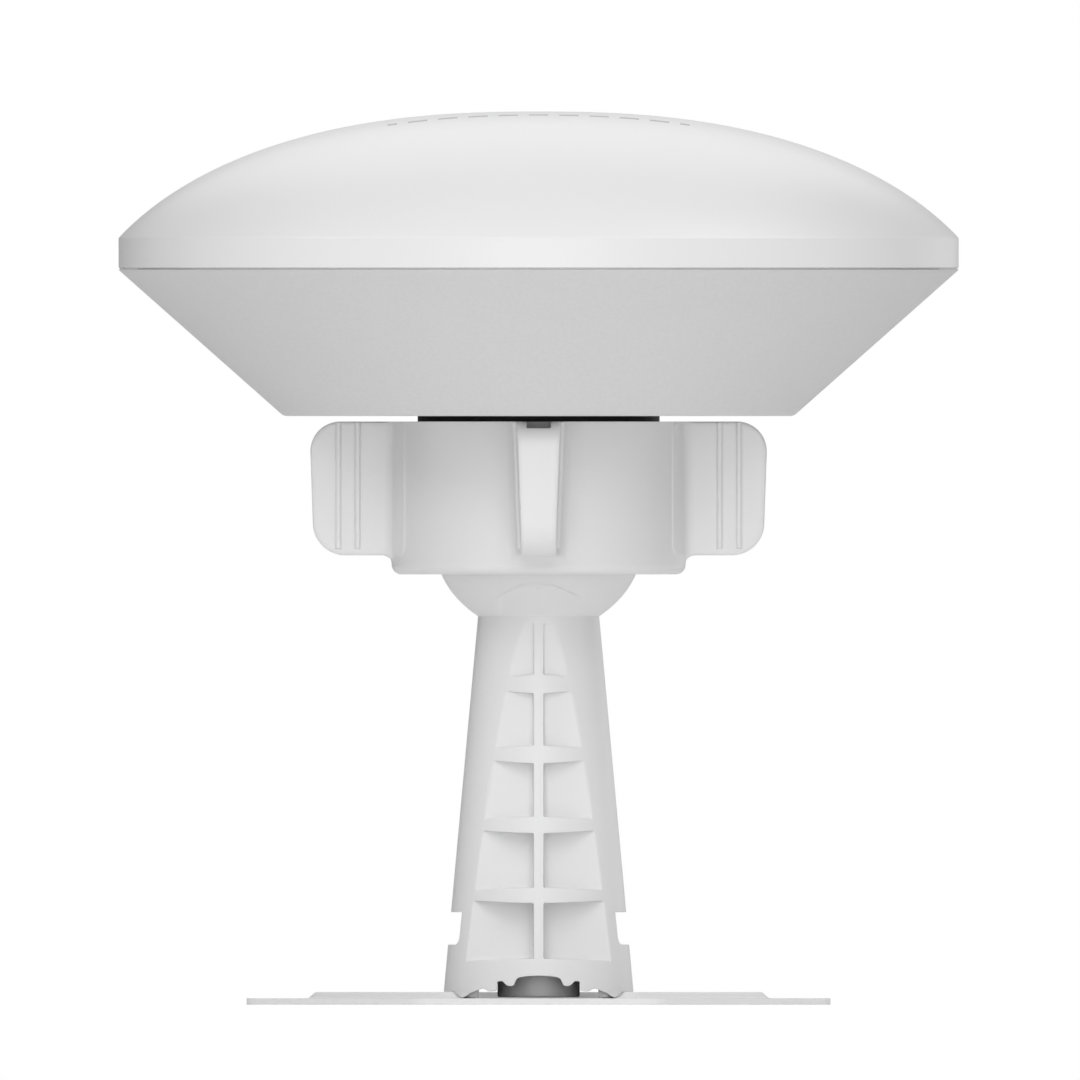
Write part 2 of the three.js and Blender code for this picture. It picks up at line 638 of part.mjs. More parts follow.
function radome() {
  const outward = (steps) => Array.from({ length: steps + 1 }, (_, i) => Math.sin((i / steps) * Math.PI / 2));
  const outer = outward(8).map((t) => [t * (RIM_R - 0.6), domeHeight(t * (RIM_R - 0.6))]);
  const innerR = RIM_R - 3.2;
  const inner = outward(4).map((t) => [t * innerR, domeHeight(t * innerR) - DOME_WALL]).reverse();
  const rim = [[RIM_R, RADOME_RIM], [RIM_R, 0], [91, 0], [91, 2.5], [innerR, 2.5]];
  const shell = turned([...outer, ...rim, ...inner]);
  const filled = turned([...outer, [RIM_R, RADOME_RIM], [RIM_R, -10], [0, -10]]);
  const low = SPLIT_Z + GAP - RADOME_Z;
  let whole = shell;
  screwSpots.forEach(([x, y]) => {
    whole = whole.add(rod(4.4, low, 36, x, y).intersect(filled));
  });
  screwSpots.forEach(([x, y]) => {
    whole = whole.subtract(rod(2.3, low - 1, 18, x, y));
  });
  return whole;
}

place(head, 'radome', radome(), material(0xe9e9e9, 0.35), [0, 0, RADOME_Z]);

// ---- electronics -----------------------------------------------------------------------

function mainBoard() {
  const disc = rod(BOARD_R, 0, BOARD_T, 0, 0, MEDIUM);
  let board = disc.add(block(-20, 20, 30, PANEL_Y - GAP, 0, BOARD_T));
  standoffSpots.forEach(([x, y]) => {
    board = board.subtract(rod(1.8, -1, 3, x, y));
  });
  return board;
}

function antennaBoard() {
  let board = rod(46, 0, BOARD_T, 0, 0, MEDIUM);
  standoffSpots.forEach(([x, y]) => {
    board = board.subtract(rod(1.8, -1, 3, x, y));
  });
  return board;
}

function groundPlane() {
  let plane = rod(86, 0, GROUND_T, 0, 0, ROUND);
  screwSpots.forEach(([x, y]) => {
    plane = plane.subtract(rod(5, -1, 3, x, y));
  });
  standoffSpots.forEach(([x, y]) => {
    plane = plane.subtract(rod(1.8, -1, 3, x, y));
  });
  return plane;
}

// Post with a stud below, into the housing, and a tapped hole above.
function standoff() {
  const length = ANTENNA_BOARD_Z - BOARD_Z - BOARD_T - 2 * GAP;
  const post = turned([[0, -6], [1.5, -6], [1.5, 0], [3, 0], [3, length], [0, length]], 6);
  return post.subtract(rod(1.8, length - 7, length + 1));
}

function shieldCan(width, depth, height) {
  const can = block(-width / 2, width / 2, -depth / 2, depth / 2, 0, height);
  const wall = 0.6;
  return can.subtract(block(wall - width / 2, width / 2 - wall, wall - depth / 2, depth / 2 - wall, -1, height - wall));
}

const green = () => material(0x1f5a3a, 0.5);
const ceramic = () => material(0xb9ae98, 0.6);
const tin = () => material(0xb8babb, 0.35, 0.9);
const boardTop = BOARD_Z + BOARD_T + GAP;
const groundTop = GROUND_Z + GROUND_T + GAP;

place(head, 'main_board', mainBoard(), green(), [0, 0, BOARD_Z]);
place(head, 'processor', block(-7, 7, -7, 7, 0, 1.2), material(0x151515, 0.5), [0, -12, boardTop]);
place(head, 'heat_pad', block(-6.5, 6.5, -6.5, 6.5, 0, 1.6), material(0x9aa4ad, 0.9), [0, -12, boardTop + 1.5]);
place(head, 'receiver_shield', shieldCan(34, 30, 4.3), tin(), [0, -12, boardTop]);
place(head, 'backup_cell', rod(8, 0, 3.2, 0, 0, 24), tin(), [-30, 8, boardTop]);
const link = block(-5, 5, -2.5, 2.5, 0, ANTENNA_BOARD_Z - GAP - boardTop);
place(head, 'board_connector', link, material(0x202020, 0.6), [26, 6, boardTop]);
standoffSpots.forEach(([x, y], i) => {
  place(head, `standoff_${i + 1}`, standoff(), material(0xb59a52, 0.4, 0.8), [x, y, boardTop]);
});
place(head, 'antenna_board', antennaBoard(), green(), [0, 0, ANTENNA_BOARD_Z]);
const lnaShield = shieldCan(28, 28, 3.5).rotate(180, 0, 0);
place(head, 'lna_shield', lnaShield, tin(), [0, 0, ANTENNA_BOARD_Z - GAP]);
place(head, 'ground_plane', groundPlane(), material(0xc4c6c8, 0.4, 0.9), [0, 0, GROUND_Z]);
place(head, 'antenna_patch_lower', rod(35, 0, 6, 0, 0, MEDIUM), ceramic(), [0, 0, groundTop]);
place(head, 'antenna_patch_upper', rod(22, 0, 5, 0, 0, 20), ceramic(), [0, 0, groundTop + 6 + GAP]);
standoffSpots.forEach(([x, y], i) => {
  place(head, `board_screw_${i + 1}`, smallScrew(2.8, 1.8, 1.5, 8), steel(), [x, y, groundTop]);
});

// ---- ports -----------------------------------------------------------------------------

// Square jack with a plug opening to the rear.
function networkSocket() {
  const body = block(-8, 8, -16, 0, 0, 13);
  const nose = block(-7, 7, -1, PANEL_T, 1.6, 11.6);
  return body.add(nose).subtract(block(-6, 6, -13, 5, 2.8, 10));
}

// Round multi-pole socket, open to the rear.
function serviceSocket() {
  const body = rodAlongY(SERVICE_R, -12, 0, 0, 0).add(rodAlongY(4.4, -1, PANEL_T, 0, 0));
  return body.subtract(rodAlongY(3.3, -8, 5, 0, 0));
}

function portPanel() {
  let panel = block(-20.5, 20.5, 0, PANEL_T, SOCKET_Z, PANEL_HIGH);
  panel = panel.subtract(block(NETWORK_X - 7.4, NETWORK_X + 7.4, -1, 5, SOCKET_Z + 1.2, SOCKET_Z + 12));
  panel = panel.subtract(rodAlongY(4.8, -1, 5, SERVICE_X, SOCKET_Z + 6.5));
  return panel.subtract(rodAlongY(2.6, -1, 5, BUTTON_X, SOCKET_Z + 6.5));
}

function resetButton() {
  return rodAlongY(2.2, 0, 4.2, 0, 0).add(rodAlongY(3.1, 0, 1.2, 0, 0));
}

// The cover lies flush with the cone and swings on a barrel above its upper edge.
function portCover() {
  const half = PORT_HALF - 0.4;
  const plate = slopeBlock(half, SEAT_NEAR + 0.5, SEAT_FAR - 0.5);
  const web = slopeBlock(HINGE_HALF, 0, SEAT_NEAR + 1);
  const skin = plate.add(web).intersect(coneSolid()).subtract(coneMovedIn(3.3));
  const barrel = hingeRod(HINGE_R, -HINGE_HALF, HINGE_HALF, 16);
  return skin.add(barrel).subtract(hingeRod(PIN_R + GAP, -20, 20));
}

function coverGasket() {
  const layer = coneMovedIn(3.65).subtract(coneMovedIn(5.3));
  const outer = slopeBlock(21, SEAT_NEAR + 1.4, SEAT_FAR - 0.9);
  const inner = slopeBlock(19.6, SEAT_NEAR + 3, SEAT_FAR - 2.4);
  return layer.intersect(outer).subtract(inner);
}

const dark = () => material(0x1b1b1b, 0.6);
place(head, 'port_panel', portPanel(), dark(), [0, PANEL_Y, 0]);
place(head, 'network_socket', networkSocket(), tin(), [NETWORK_X, PANEL_Y - GAP, SOCKET_Z]);
place(head, 'service_socket', serviceSocket(), tin(), [SERVICE_X, PANEL_Y - GAP, SOCKET_Z + 6.5]);
place(head, 'reset_button', resetButton(), material(0xb5541f, 0.5), [BUTTON_X, PANEL_Y - GAP - 1.2, SOCKET_Z + 6.5]);
const switchBody = block(-3, 3, -5, 0, 0, 9);
place(head, 'button_switch', switchBody, dark(), [BUTTON_X, PANEL_Y - GAP - 2.3, SOCKET_Z]);
place(head, 'port_cover', portCover(), material(0xcfcfcf, 0.65));
place(head, 'cover_gasket', coverGasket(), material(0x1a1a1a, 0.9));
const pin = rodAlongX(PIN_R, HINGE_HALF + EAR, 0, 0);
place(head, 'cover_pin', pin, steel(), [0, hingeY, HINGE_Z]);

export default receiver;
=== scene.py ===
import json
import math

import bmesh
import bpy
import numpy as np
from mathutils import Matrix, Vector


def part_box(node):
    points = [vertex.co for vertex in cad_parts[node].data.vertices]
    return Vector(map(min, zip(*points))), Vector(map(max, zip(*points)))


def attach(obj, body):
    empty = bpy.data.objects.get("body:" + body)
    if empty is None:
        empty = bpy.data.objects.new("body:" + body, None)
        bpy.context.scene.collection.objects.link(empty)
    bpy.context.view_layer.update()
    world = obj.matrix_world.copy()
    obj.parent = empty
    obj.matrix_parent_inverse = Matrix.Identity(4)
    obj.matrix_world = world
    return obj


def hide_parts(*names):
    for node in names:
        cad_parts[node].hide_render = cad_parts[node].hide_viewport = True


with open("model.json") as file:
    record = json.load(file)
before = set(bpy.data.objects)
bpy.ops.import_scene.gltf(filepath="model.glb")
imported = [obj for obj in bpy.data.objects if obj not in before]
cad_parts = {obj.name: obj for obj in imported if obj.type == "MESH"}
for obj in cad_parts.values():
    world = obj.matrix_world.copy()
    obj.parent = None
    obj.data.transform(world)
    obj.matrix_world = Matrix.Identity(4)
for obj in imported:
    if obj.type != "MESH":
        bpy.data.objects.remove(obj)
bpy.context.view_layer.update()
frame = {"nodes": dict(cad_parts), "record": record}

# Lengths in this script are in millimetres until a mesh is made; MM turns them into metres.
MM = 0.001
GAP = 0.3    # between pieces that touch in the real object


# ---- places from the frame -----------------------------------

def box(node):
    """The node's lowest and highest corners in millimetres."""
    low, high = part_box(node)
    return np.array(low) / MM, np.array(high) / MM


def joint_place(name):
    joint = next(j for j in frame["record"]["behaviour"]["joints"] if j["name"] == name)
    return np.array(joint["pos_m"]) / MM


PLATE_HIGH = box("base_plate")[1]
RING_LOW, RING_HIGH = box("lock_ring")
HOUSING_LOW, HOUSING_HIGH = box("lower_housing")
RADOME_HIGH = box("radome")[1]
COLLAR_LOW, COLLAR_HIGH = box("ball_collar")
BOSS_LOW, BOSS_HIGH = box("thread_boss")

SLOTS = {part["node"]: part["material_slot"] for part in frame["record"]["subparts"]}
BODIES = {
    node: body
    for body, nodes in frame["record"]["behaviour"]["bodies"].items()
    for node in nodes
}

BALL_R = box("mount_arm")[1][0]
BALL_Z = joint_place("ball_tilt")[2]
HINGE_Y, HINGE_Z = joint_place("cover_swing")[1:]
RIM_R = RADOME_HIGH[0]
SEAM_Z = HOUSING_HIGH[2]
EMBOSS_Z = PLATE_HIGH[2]
SHEET = 1.5    # thickness of the base plate


# ---- distance functions --------------------------------------
# A moulded or pressed piece is described by a function that is negative inside it. soften_min
# and soften_max join two such functions with a fillet about as wide as k.

def soften_min(a, b, k):
    h = np.clip(0.5 + 0.5 * (b - a) / k, 0, 1)
    return b * (1 - h) + a * h - k * h * (1 - h)


def soften_max(a, b, k):
    return -soften_min(-a, -b, k)


def cut(body, tool, k=0.1):
    return soften_max(body, -tool, k)


def join(body, other, k=0.1):
    return soften_min(body, other, k)


def box_field(u, v, w, low, high):
    """A box between two corners, in any three coordinates."""
    sides = [np.maximum(low[n] - c, c - high[n]) for n, c in enumerate((u, v, w))]
    return np.maximum(np.maximum(sides[0], sides[1]), sides[2])


def rounded_rectangle(u, v, half_u, half_v, radius):
    """Distance to a rectangle about the origin, with rounded corners."""
    qu = np.abs(u) - half_u + radius
    qv = np.abs(v) - half_v + radius
    outside = np.hypot(np.maximum(qu, 0), np.maximum(qv, 0))
    return outside + np.minimum(np.maximum(qu, qv), 0) - radius


def around(x, y, count, start=0.0):
    """The plane folded so that count equal directions fall on +X, from start degrees on."""
    step = 2 * np.pi / count
    angle = np.arctan2(y, x) - math.radians(start)
    angle = angle - step * np.round(angle / step)
    r = np.hypot(x, y)
    return r * np.cos(angle), r * np.sin(angle)


def thread(x, y, z, pitch):
    """A rounded screw thread's height from 0 to 1."""
    turn = z / pitch - np.arctan2(y, x) / (2 * np.pi)
    return np.clip(1.5 * np.abs(2 * (turn - np.floor(turn)) - 1) - 0.25, 0, 1)


# ---- meshes from distance functions --------------------------

FIT_DAMPING = 0.03    # pull towards a cell's mean point, where the surface is flat


def sample(field, axes, step, reach):
    """The field on a grid, worked out in full only in blocks of cells near the surface."""
    block = 6
    centres = [
        axis[0] + step * block * (np.arange(math.ceil(len(axis) / block)) + 0.5)
        for axis in axes
    ]
    rough = field(*np.meshgrid(*centres, indexing="ij"))
    near = np.abs(rough) < reach * step * block * 0.87
    for axis in range(3):
        rough = np.repeat(rough, block, axis)
        near = np.repeat(near, block, axis)
    shape = tuple(len(axis) for axis in axes)
    inside = tuple(slice(0, n) for n in shape)
    value, near = rough[inside].copy(), near[inside]
    places = np.nonzero(near)
    value[places] = field(*(axis[place] for axis, place in zip(axes, places)))
    return value


def slope_of(field, points, e=0.004):
    """The field's gradient, by differences over e on each side."""
    slope = np.empty_like(points)
    for axis in range(3):
        offset = np.zeros(3)
        offset[axis] = e
        slope[:, axis] = (field(*(points + offset).T) - field(*(points - offset).T)) / (2 * e)
    return slope


def crossings(field, axes, value, step, axis):
    """Where the surface cuts the grid's edges along one axis: the edges, points and normals."""
    ahead, behind = [slice(None)] * 3, [slice(None)] * 3
    ahead[axis], behind[axis] = slice(1, None), slice(None, -1)
    edges = np.argwhere((value[tuple(ahead)] < 0) != (value[tuple(behind)] < 0))
    low = np.array([a[0] for a in axes]) + edges * step
    near, far = np.zeros(len(edges)), np.ones(len(edges))
    near_inside = value[tuple(edges.T)] < 0
    along = np.zeros(3)
    along[axis] = step
    for _ in range(9):
        middle = (near + far) / 2
        same = (field(*(low + middle[:, None] * along).T) < 0) == near_inside
        near, far = np.where(same, middle, near), np.where(same, far, middle)
    points = low + ((near + far) / 2)[:, None] * along
    normals = slope_of(field, points)
    normals /= np.maximum(np.linalg.norm(normals, axis=1), 1e-9)[:, None]
    return edges, near_inside, points, normals


def skin_of(field, low, high, step, reach=1.4):
    """The field's zero surface. Each grid cell that it crosses gets one point, at the place that
    best fits the surface's planes on the cell's edges, so that creases stay sharp."""
    axes = [np.arange(a - 0.013, b + step, step) for a, b in zip(low, high)]
    value = sample(field, axes, step, reach)
    cells = np.array(value.shape) - 1
    total = int(np.prod(cells))
    fits = np.zeros((total, 3, 3))
    pulls = np.zeros((total, 3))
    means = np.zeros((total, 3))
    counts = np.zeros(total)
    quads = []
    for axis in range(3):
        u, v = [n for n in range(3) if n != axis]
        edges, near_inside, points, normals = crossings(field, axes, value, step, axis)
        inner = (edges[:, u] > 0) & (edges[:, u] < cells[u])
        inner &= (edges[:, v] > 0) & (edges[:, v] < cells[v])
        edges, near_inside = edges[inner], near_inside[inner]
        points, normals = points[inner], normals[inner]
        corners = []
        for du, dv in ((-1, -1), (0, -1), (0, 0), (-1, 0)):
            cell = edges.copy()
            cell[:, u] += du
            cell[:, v] += dv
            flat = np.ravel_multi_index(tuple(cell.T), tuple(cells))
            corners.append(flat)
            distance = (normals * points).sum(1)
            np.add.at(counts, flat, 1)
            np.add.at(means, flat, points)
            np.add.at(fits, flat, normals[:, :, None] * normals[:, None, :])
            np.add.at(pulls, flat, normals * distance[:, None])
        quad = np.array(corners).T
        flip = ~near_inside if axis == 1 else near_inside
        quad[~flip] = quad[~flip][:, ::-1]
        quads.append(quad)
    used = np.nonzero(counts)[0]
    number = np.full(total, -1)
    number[used] = np.arange(len(used))
    counts = counts[used][:, None]
    mean = means[used] / counts
    fit = fits[used] + np.eye(3) * FIT_DAMPING * counts[:, :, None]
    pull = pulls[used] - np.einsum("nij,nj->ni", fits[used], mean)
    move = np.linalg.solve(fit, pull[:, :, None])[:, :, 0]
    points = mean + np.clip(move, -0.8 * step, 0.8 * step)
    for _ in range(2):
        slope = slope_of(field, points)
        size = field(*points.T) / np.maximum((slope ** 2).sum(1), 0.2)
        points = points - slope * np.clip(size, -0.3 * step, 0.3 * step)[:, None]
    return points, number[np.concatenate(quads)]


CREASE = 32    # degrees


def mesh_from(name, points, faces):
    """A mesh of points in millimetres, smooth but for creases sharper than CREASE."""
    mesh = bpy.data.meshes.new(name)
    faces = np.asarray(faces)
    sides = faces.shape[1]
    mesh.vertices.add(len(points))
    mesh.vertices.foreach_set("co", (np.asarray(points, dtype=float) * MM).ravel())
    mesh.loops.add(len(faces) * sides)
    mesh.loops.foreach_set("vertex_index", faces.ravel().astype(np.int32))
    mesh.polygons.add(len(faces))
    starts = np.arange(0, len(faces) * sides, sides, dtype=np.int32)
    mesh.polygons.foreach_set("loop_start", starts)
    mesh.update(calc_edges=True)
    bm = bmesh.new()
    bm.from_mesh(mesh)
    bmesh.ops.remove_doubles(bm, verts=bm.verts, dist=0.001 * MM)
    bmesh.ops.recalc_face_normals(bm, faces=bm.faces)
    bm.to_mesh(mesh)
    bm.free()
    mesh.polygons.foreach_set("use_smooth", np.ones(len(mesh.polygons), dtype=bool))
    mesh.set_sharp_from_angle(angle=math.radians(CREASE))
    return mesh


# ---- turned shapes -------------------------------------------

def arc(centre, radius, start, end, steps=6):
    """Points on a circle from one angle to another, in degrees."""
    angles = np.radians(np.linspace(start, end, steps + 1))
    return [(centre[0] + radius * math.cos(a), centre[1] + radius * math.sin(a)) for a in angles]


def turned(profile, segments=96, closed=False):
    """Points and quads of a profile of (radius, height) or (radius, height, sides) turned about Z.
    A row with sides is a regular polygon whose flats lie at that radius."""
    angles = np.arange(segments) * 2 * np.pi / segments
    rows = []
    for r, z, *sides in profile:
        radius = np.full(segments, float(r))
        if sides:
            part = 2 * np.pi / sides[0]
            radius = r / np.cos((angles + part / 2) % part - part / 2)
        x, y = np.cos(angles) * radius, np.sin(angles) * radius
        rows.append(np.column_stack([x, y, np.full(segments, z)]))
    count = len(rows)
    here = np.arange(segments)
    after = (here + 1) % segments
    faces = []
    for i in range(count if closed else count - 1):
        a, b = i * segments, (i + 1) % count * segments
        faces.append(np.column_stack([a + here, a + after, b + after, b + here]))
    return np.concatenate(rows), np.concatenate(faces)


def merged(*shapes):
    """Several (points, faces) shapes as one."""
    points, faces, start = [], [], 0
    for shape_points, shape_faces in shapes:
        points.append(np.asarray(shape_points, dtype=float))
        faces.append(np.asarray(shape_faces) + start)
        start += len(shape_points)
    return np.concatenate(points), np.concatenate(faces)


def moved(shape, offset=(0, 0, 0), turn=None):
    """A (points, faces) shape, first turned and then shifted."""
    points, faces = shape
    if turn is not None:
        points = points @ np.array(turn.to_3x3()).T
    return points + np.array(offset, dtype=float), faces


ALONG_Y = Matrix.Rotation(math.radians(-90), 4, "X")
ALONG_X = Matrix.Rotation(math.radians(90), 4, "Y")
UPSIDE_DOWN = Matrix.Rotation(math.radians(180), 4, "X")


# ---- materials -----------------------------------------------

class Nodes:
    """Short ways to add and join shader nodes."""

    def __init__(self, name):
        self.material = bpy.data.materials.new(name)
        self.material.use_nodes = True
        self.tree = self.material.node_tree
        self.tree.nodes.clear()
        self.output = self.tree.nodes.new("ShaderNodeOutputMaterial")
        self.shader = self.tree.nodes.new("ShaderNodeBsdfPrincipled")
        self.tree.links.new(self.shader.outputs[0], self.output.inputs[0])
        self.place = self.tree.nodes.new("ShaderNodeTexCoord").outputs["Object"]

    def add(self, kind, **values):
        node = self.tree.nodes.new(kind)
        for key, value in values.items():
            setattr(node, key, value)
        return node

    def join(self, source, target):
        if isinstance(source, bpy.types.NodeSocket):
            self.tree.links.new(source, target)
        else:
            target.default_value = source

    def noise(self, per_metre, detail=2.0, roughness=0.5):
        node = self.add("ShaderNodeTexNoise")
        self.join(self.place, node.inputs["Vector"])
        node.inputs["Scale"].default_value = per_metre
        node.inputs["Detail"].default_value = detail
        node.inputs["Roughness"].default_value = roughness
        return node.outputs["Fac"]

    def span(self, value, low, high, to_low, to_high):
        node = self.add("ShaderNodeMapRange")
        for socket, number in zip(node.inputs[:5], (value, low, high, to_low, to_high)):
            self.join(number, socket)
        return node.outputs[0]

    def maths(self, operation, a, b=0.0):
        node = self.add("ShaderNodeMath", operation=operation)
        self.join(a, node.inputs[0])
        self.join(b, node.inputs[1])
        return node.outputs[0]

    def mix(self, share, a, b):
        node = self.add("ShaderNodeMix", data_type="RGBA")
        self.join(share, node.inputs[0])
        self.join(a, node.inputs[6])
        self.join(b, node.inputs[7])
        return node.outputs[2]

    def edges(self, radius):
        """Normals rounded over sharp edges, and a mask that is 1 on those edges."""
        bevel = self.add("ShaderNodeBevel", samples=4)
        bevel.inputs["Radius"].default_value = radius
        geometry = self.add("ShaderNodeNewGeometry")
        dot = self.add("ShaderNodeVectorMath", operation="DOT_PRODUCT")
        self.join(bevel.outputs[0], dot.inputs[0])
        self.join(geometry.outputs["Normal"], dot.inputs[1])
        return bevel.outputs[0], self.span(dot.outputs["Value"], 0.985, 0.86, 0.0, 1.0)

    def bump(self, height, strength, distance, normal):
        node = self.add("ShaderNodeBump")
        node.inputs["Strength"].default_value = strength
        node.inputs["Distance"].default_value = distance
        self.join(height, node.inputs["Height"])
        self.join(normal, node.inputs["Normal"])
        return node.outputs[0]


def tint(colour, factor=1.0, lift=0.0):
    """A grey level or a colour, made lighter or darker, with alpha."""
    red, green, blue = colour if isinstance(colour, tuple) else (colour,) * 3
    return tuple(min(c * factor + lift, 1.0) for c in (red, green, blue)) + (1.0,)


def moulded(name, colour, rough, grain=1500.0, depth=0.01, speck=0.02, marks=None):
    """Moulded plastic, rubber or paint: faint clouds, fine grain, lighter and smoother edges.

    grain is in cells per metre, depth is the grain's bump in millimetres, speck is how much
    darker the grain's pits are, and marks gives a mask of print."""
    n = Nodes(name)
    cloud = n.noise(14.0, 3.0)
    fine = n.noise(grain, 3.0, 0.6)
    normal, edge_mask = n.edges(0.25 * MM)
    base = n.mix(n.span(cloud, 0.3, 0.7, 0.0, 1.0), tint(colour, 0.985), tint(colour, 1.01))
    pits = n.span(n.noise(grain * 0.7), 0.35, 0.65, 0.0, speck)
    base = n.mix(pits, base, tint(colour, 0.4))
    if marks:
        base = n.mix(marks(n), base, tint(PRINT_GREY))
    worn = n.maths("MULTIPLY", edge_mask, 0.3)
    n.join(n.mix(worn, base, tint(colour, 1.08, 0.02)), n.shader.inputs["Base Color"])
    roughness = n.span(cloud, 0.3, 0.7, rough - 0.03, rough + 0.03)
    rubbed = n.maths("MULTIPLY", worn, 0.2)
    n.join(n.maths("SUBTRACT", roughness, rubbed), n.shader.inputs["Roughness"])
    n.shader.inputs["Specular IOR Level"].default_value = 0.45
    n.join(n.bump(fine, 0.3, depth * MM, normal), n.shader.inputs["Normal"])
    return n.material


def metal(name, colour, rough, metallic=1.0):
    """Plated, turned or rolled metal: fine grain, dull patches and bright edges."""
    n = Nodes(name)
    cloud = n.noise(60.0, 4.0)
    fine = n.noise(600.0, 2.0)
    normal, edge_mask = n.edges(0.15 * MM)
    base = n.mix(n.span(cloud, 0.35, 0.65, 0.0, 1.0), tint(colour, 0.84), tint(colour))
    bright = n.mix(n.maths("MULTIPLY", edge_mask, 0.5), base, tint(colour, 1.25, 0.05))
    n.join(bright, n.shader.inputs["Base Color"])
    n.join(n.span(fine, 0.3, 0.7, rough - 0.07, rough + 0.09), n.shader.inputs["Roughness"])
    n.shader.inputs["Metallic"].default_value = metallic
    n.join(n.bump(fine, 0.2, 0.01 * MM, normal), n.shader.inputs["Normal"])
    return n.material


PRINT_GREY = 0.16
# The row of dashes near the top of the dome, in front of its middle.
PRINT_FORWARD = 25.0
PRINT_HALF_DEPTH = 1.6
PRINT_HALF_WIDTH = 36.0
PRINT_HALF_PITCH = 3.6
PRINT_HALF_DASH = 2.3


def dome_marks(n):
    """A row of short plain dashes across the front of the dome, near its top."""
    split = n.add("ShaderNodeSeparateXYZ")
    n.join(n.place, split.inputs[0])
    x, y = split.outputs["X"], split.outputs["Y"]
    from_row = n.maths("ABSOLUTE", n.maths("ADD", y, PRINT_FORWARD * MM))
    row = n.maths("LESS_THAN", from_row, PRINT_HALF_DEPTH * MM)
    width = n.maths("LESS_THAN", n.maths("ABSOLUTE", x), PRINT_HALF_WIDTH * MM)
    from_dash = n.maths("PINGPONG", x, PRINT_HALF_PITCH * MM)
    dash = n.maths("LESS_THAN", from_dash, PRINT_HALF_DASH * MM)
    return n.maths("MULTIPLY", n.maths("MULTIPLY", row, width), n.maths("MULTIPLY", dash, 0.6))


LOOKS = {
    "radome_shell": moulded(
        "radome_skin", 0.83, 0.38, grain=2200.0, depth=0.002, speck=0.01, marks=dome_marks),
    "housing_shell": moulded("housing_grain", 0.68, 0.65, grain=1500.0, depth=0.03, speck=0.05),
    "mount_plastic": moulded("mount_plastic", 0.78, 0.42, grain=1800.0, depth=0.003, speck=0.01),
    "plate_steel": moulded("plate_coat", 0.74, 0.5, grain=900.0, depth=0.006, speck=0.02),
    "boss_steel": metal("boss_steel", 0.85, 0.5, metallic=0.1),
    "screw_steel": metal("screw_steel", 0.62, 0.32),
    "black_plastic": moulded("black_plastic", 0.02, 0.5, grain=1200.0, depth=0.02),
    "pad_rubber": moulded("pad_rubber", 0.03, 0.8, grain=800.0, depth=0.05),
    "seal_rubber": moulded("seal_rubber", 0.02, 0.75, grain=900.0, depth=0.04),
    "board_green": moulded("board_mask", (0.02, 0.13, 0.06), 0.35, grain=500.0, speck=0.2),
    "chip_black": moulded("chip_black", 0.018, 0.55, grain=2500.0),
    "shield_tin": metal("shield_tin", 0.68, 0.3),
    "ceramic": moulded(
        "patch_ceramic", (0.55, 0.49, 0.38), 0.6, grain=900.0, depth=0.03, speck=0.15),
    "plane_aluminium": metal("plane_aluminium", 0.72, 0.35),
    "standoff_brass": metal("standoff_brass", (0.62, 0.45, 0.18), 0.3),
    "light_guide": moulded("light_guide", (0.75, 0.86, 0.78), 0.15, grain=400.0, depth=0.005),
    "button_orange": moulded("button_orange", (0.6, 0.13, 0.02), 0.45, depth=0.02),
}


# ---- pieces --------------------------------------------------

def piece(node, mesh):
    """Shows a mesh in place of the CAD node, on the node's body and with its slot's material."""
    mesh.name = node + "_skin"
    obj = bpy.data.objects.new(node + "_skin", mesh)
    bpy.context.scene.collection.objects.link(obj)
    mesh.materials.clear()
    mesh.materials.append(LOOKS[SLOTS[node]])
    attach(obj, BODIES[node])
    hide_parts(node)


def sculpted(node, field, step, reach=1.4):
    """The node's skin made from a distance function, on a grid round the node's box."""
    low, high = box(node)
    margin = 2.2 * step
    points, faces = skin_of(field, low - margin, high + margin, step, reach)
    piece(node, mesh_from(node, points, faces))


def centre_of(node):
    low, high = box(node)
    return (low + high) / 2


# ---- base plate ----------------------------------------------

PLATE_WIDTH = PLATE_HIGH[0] * 2
PLATE_CORNER = 1.8
RAISED_FOOT = 110.0    # across the flats of the raised ring's foot and of its top
RAISED_TOP = 106.0
CHANNEL_HALF = 18.9
CHANNEL_END = 24.0
CHANNEL_CORNER = 2.0
CHANNEL_RAMP = 1.65
STUD_HOLE_R = 8.3
BOLT_CIRCLE_R, BOLT_HOLE_R = 62.2, 3.3
SINK_TOP_R, SINK_LOW_R = 1.8, 3.5


def octagon(x, y, width):
    """Distance to a regular octagon with flats square to X and Y and rounded corners."""
    ax, ay = np.abs(x), np.abs(y)
    square = soften_max(ax, ay, 0.01)
    turned_square = (ax + ay) * math.sqrt(0.5)
    return soften_max(square, turned_square, PLATE_CORNER) - width / 2


def eased(t):
    """0 to 1 with rounded ends, for the profile of a pressed ramp."""
    t = np.clip(t, 0, 1)
    return t * t * (3 - 2 * t) * 0.6 + t * 0.4


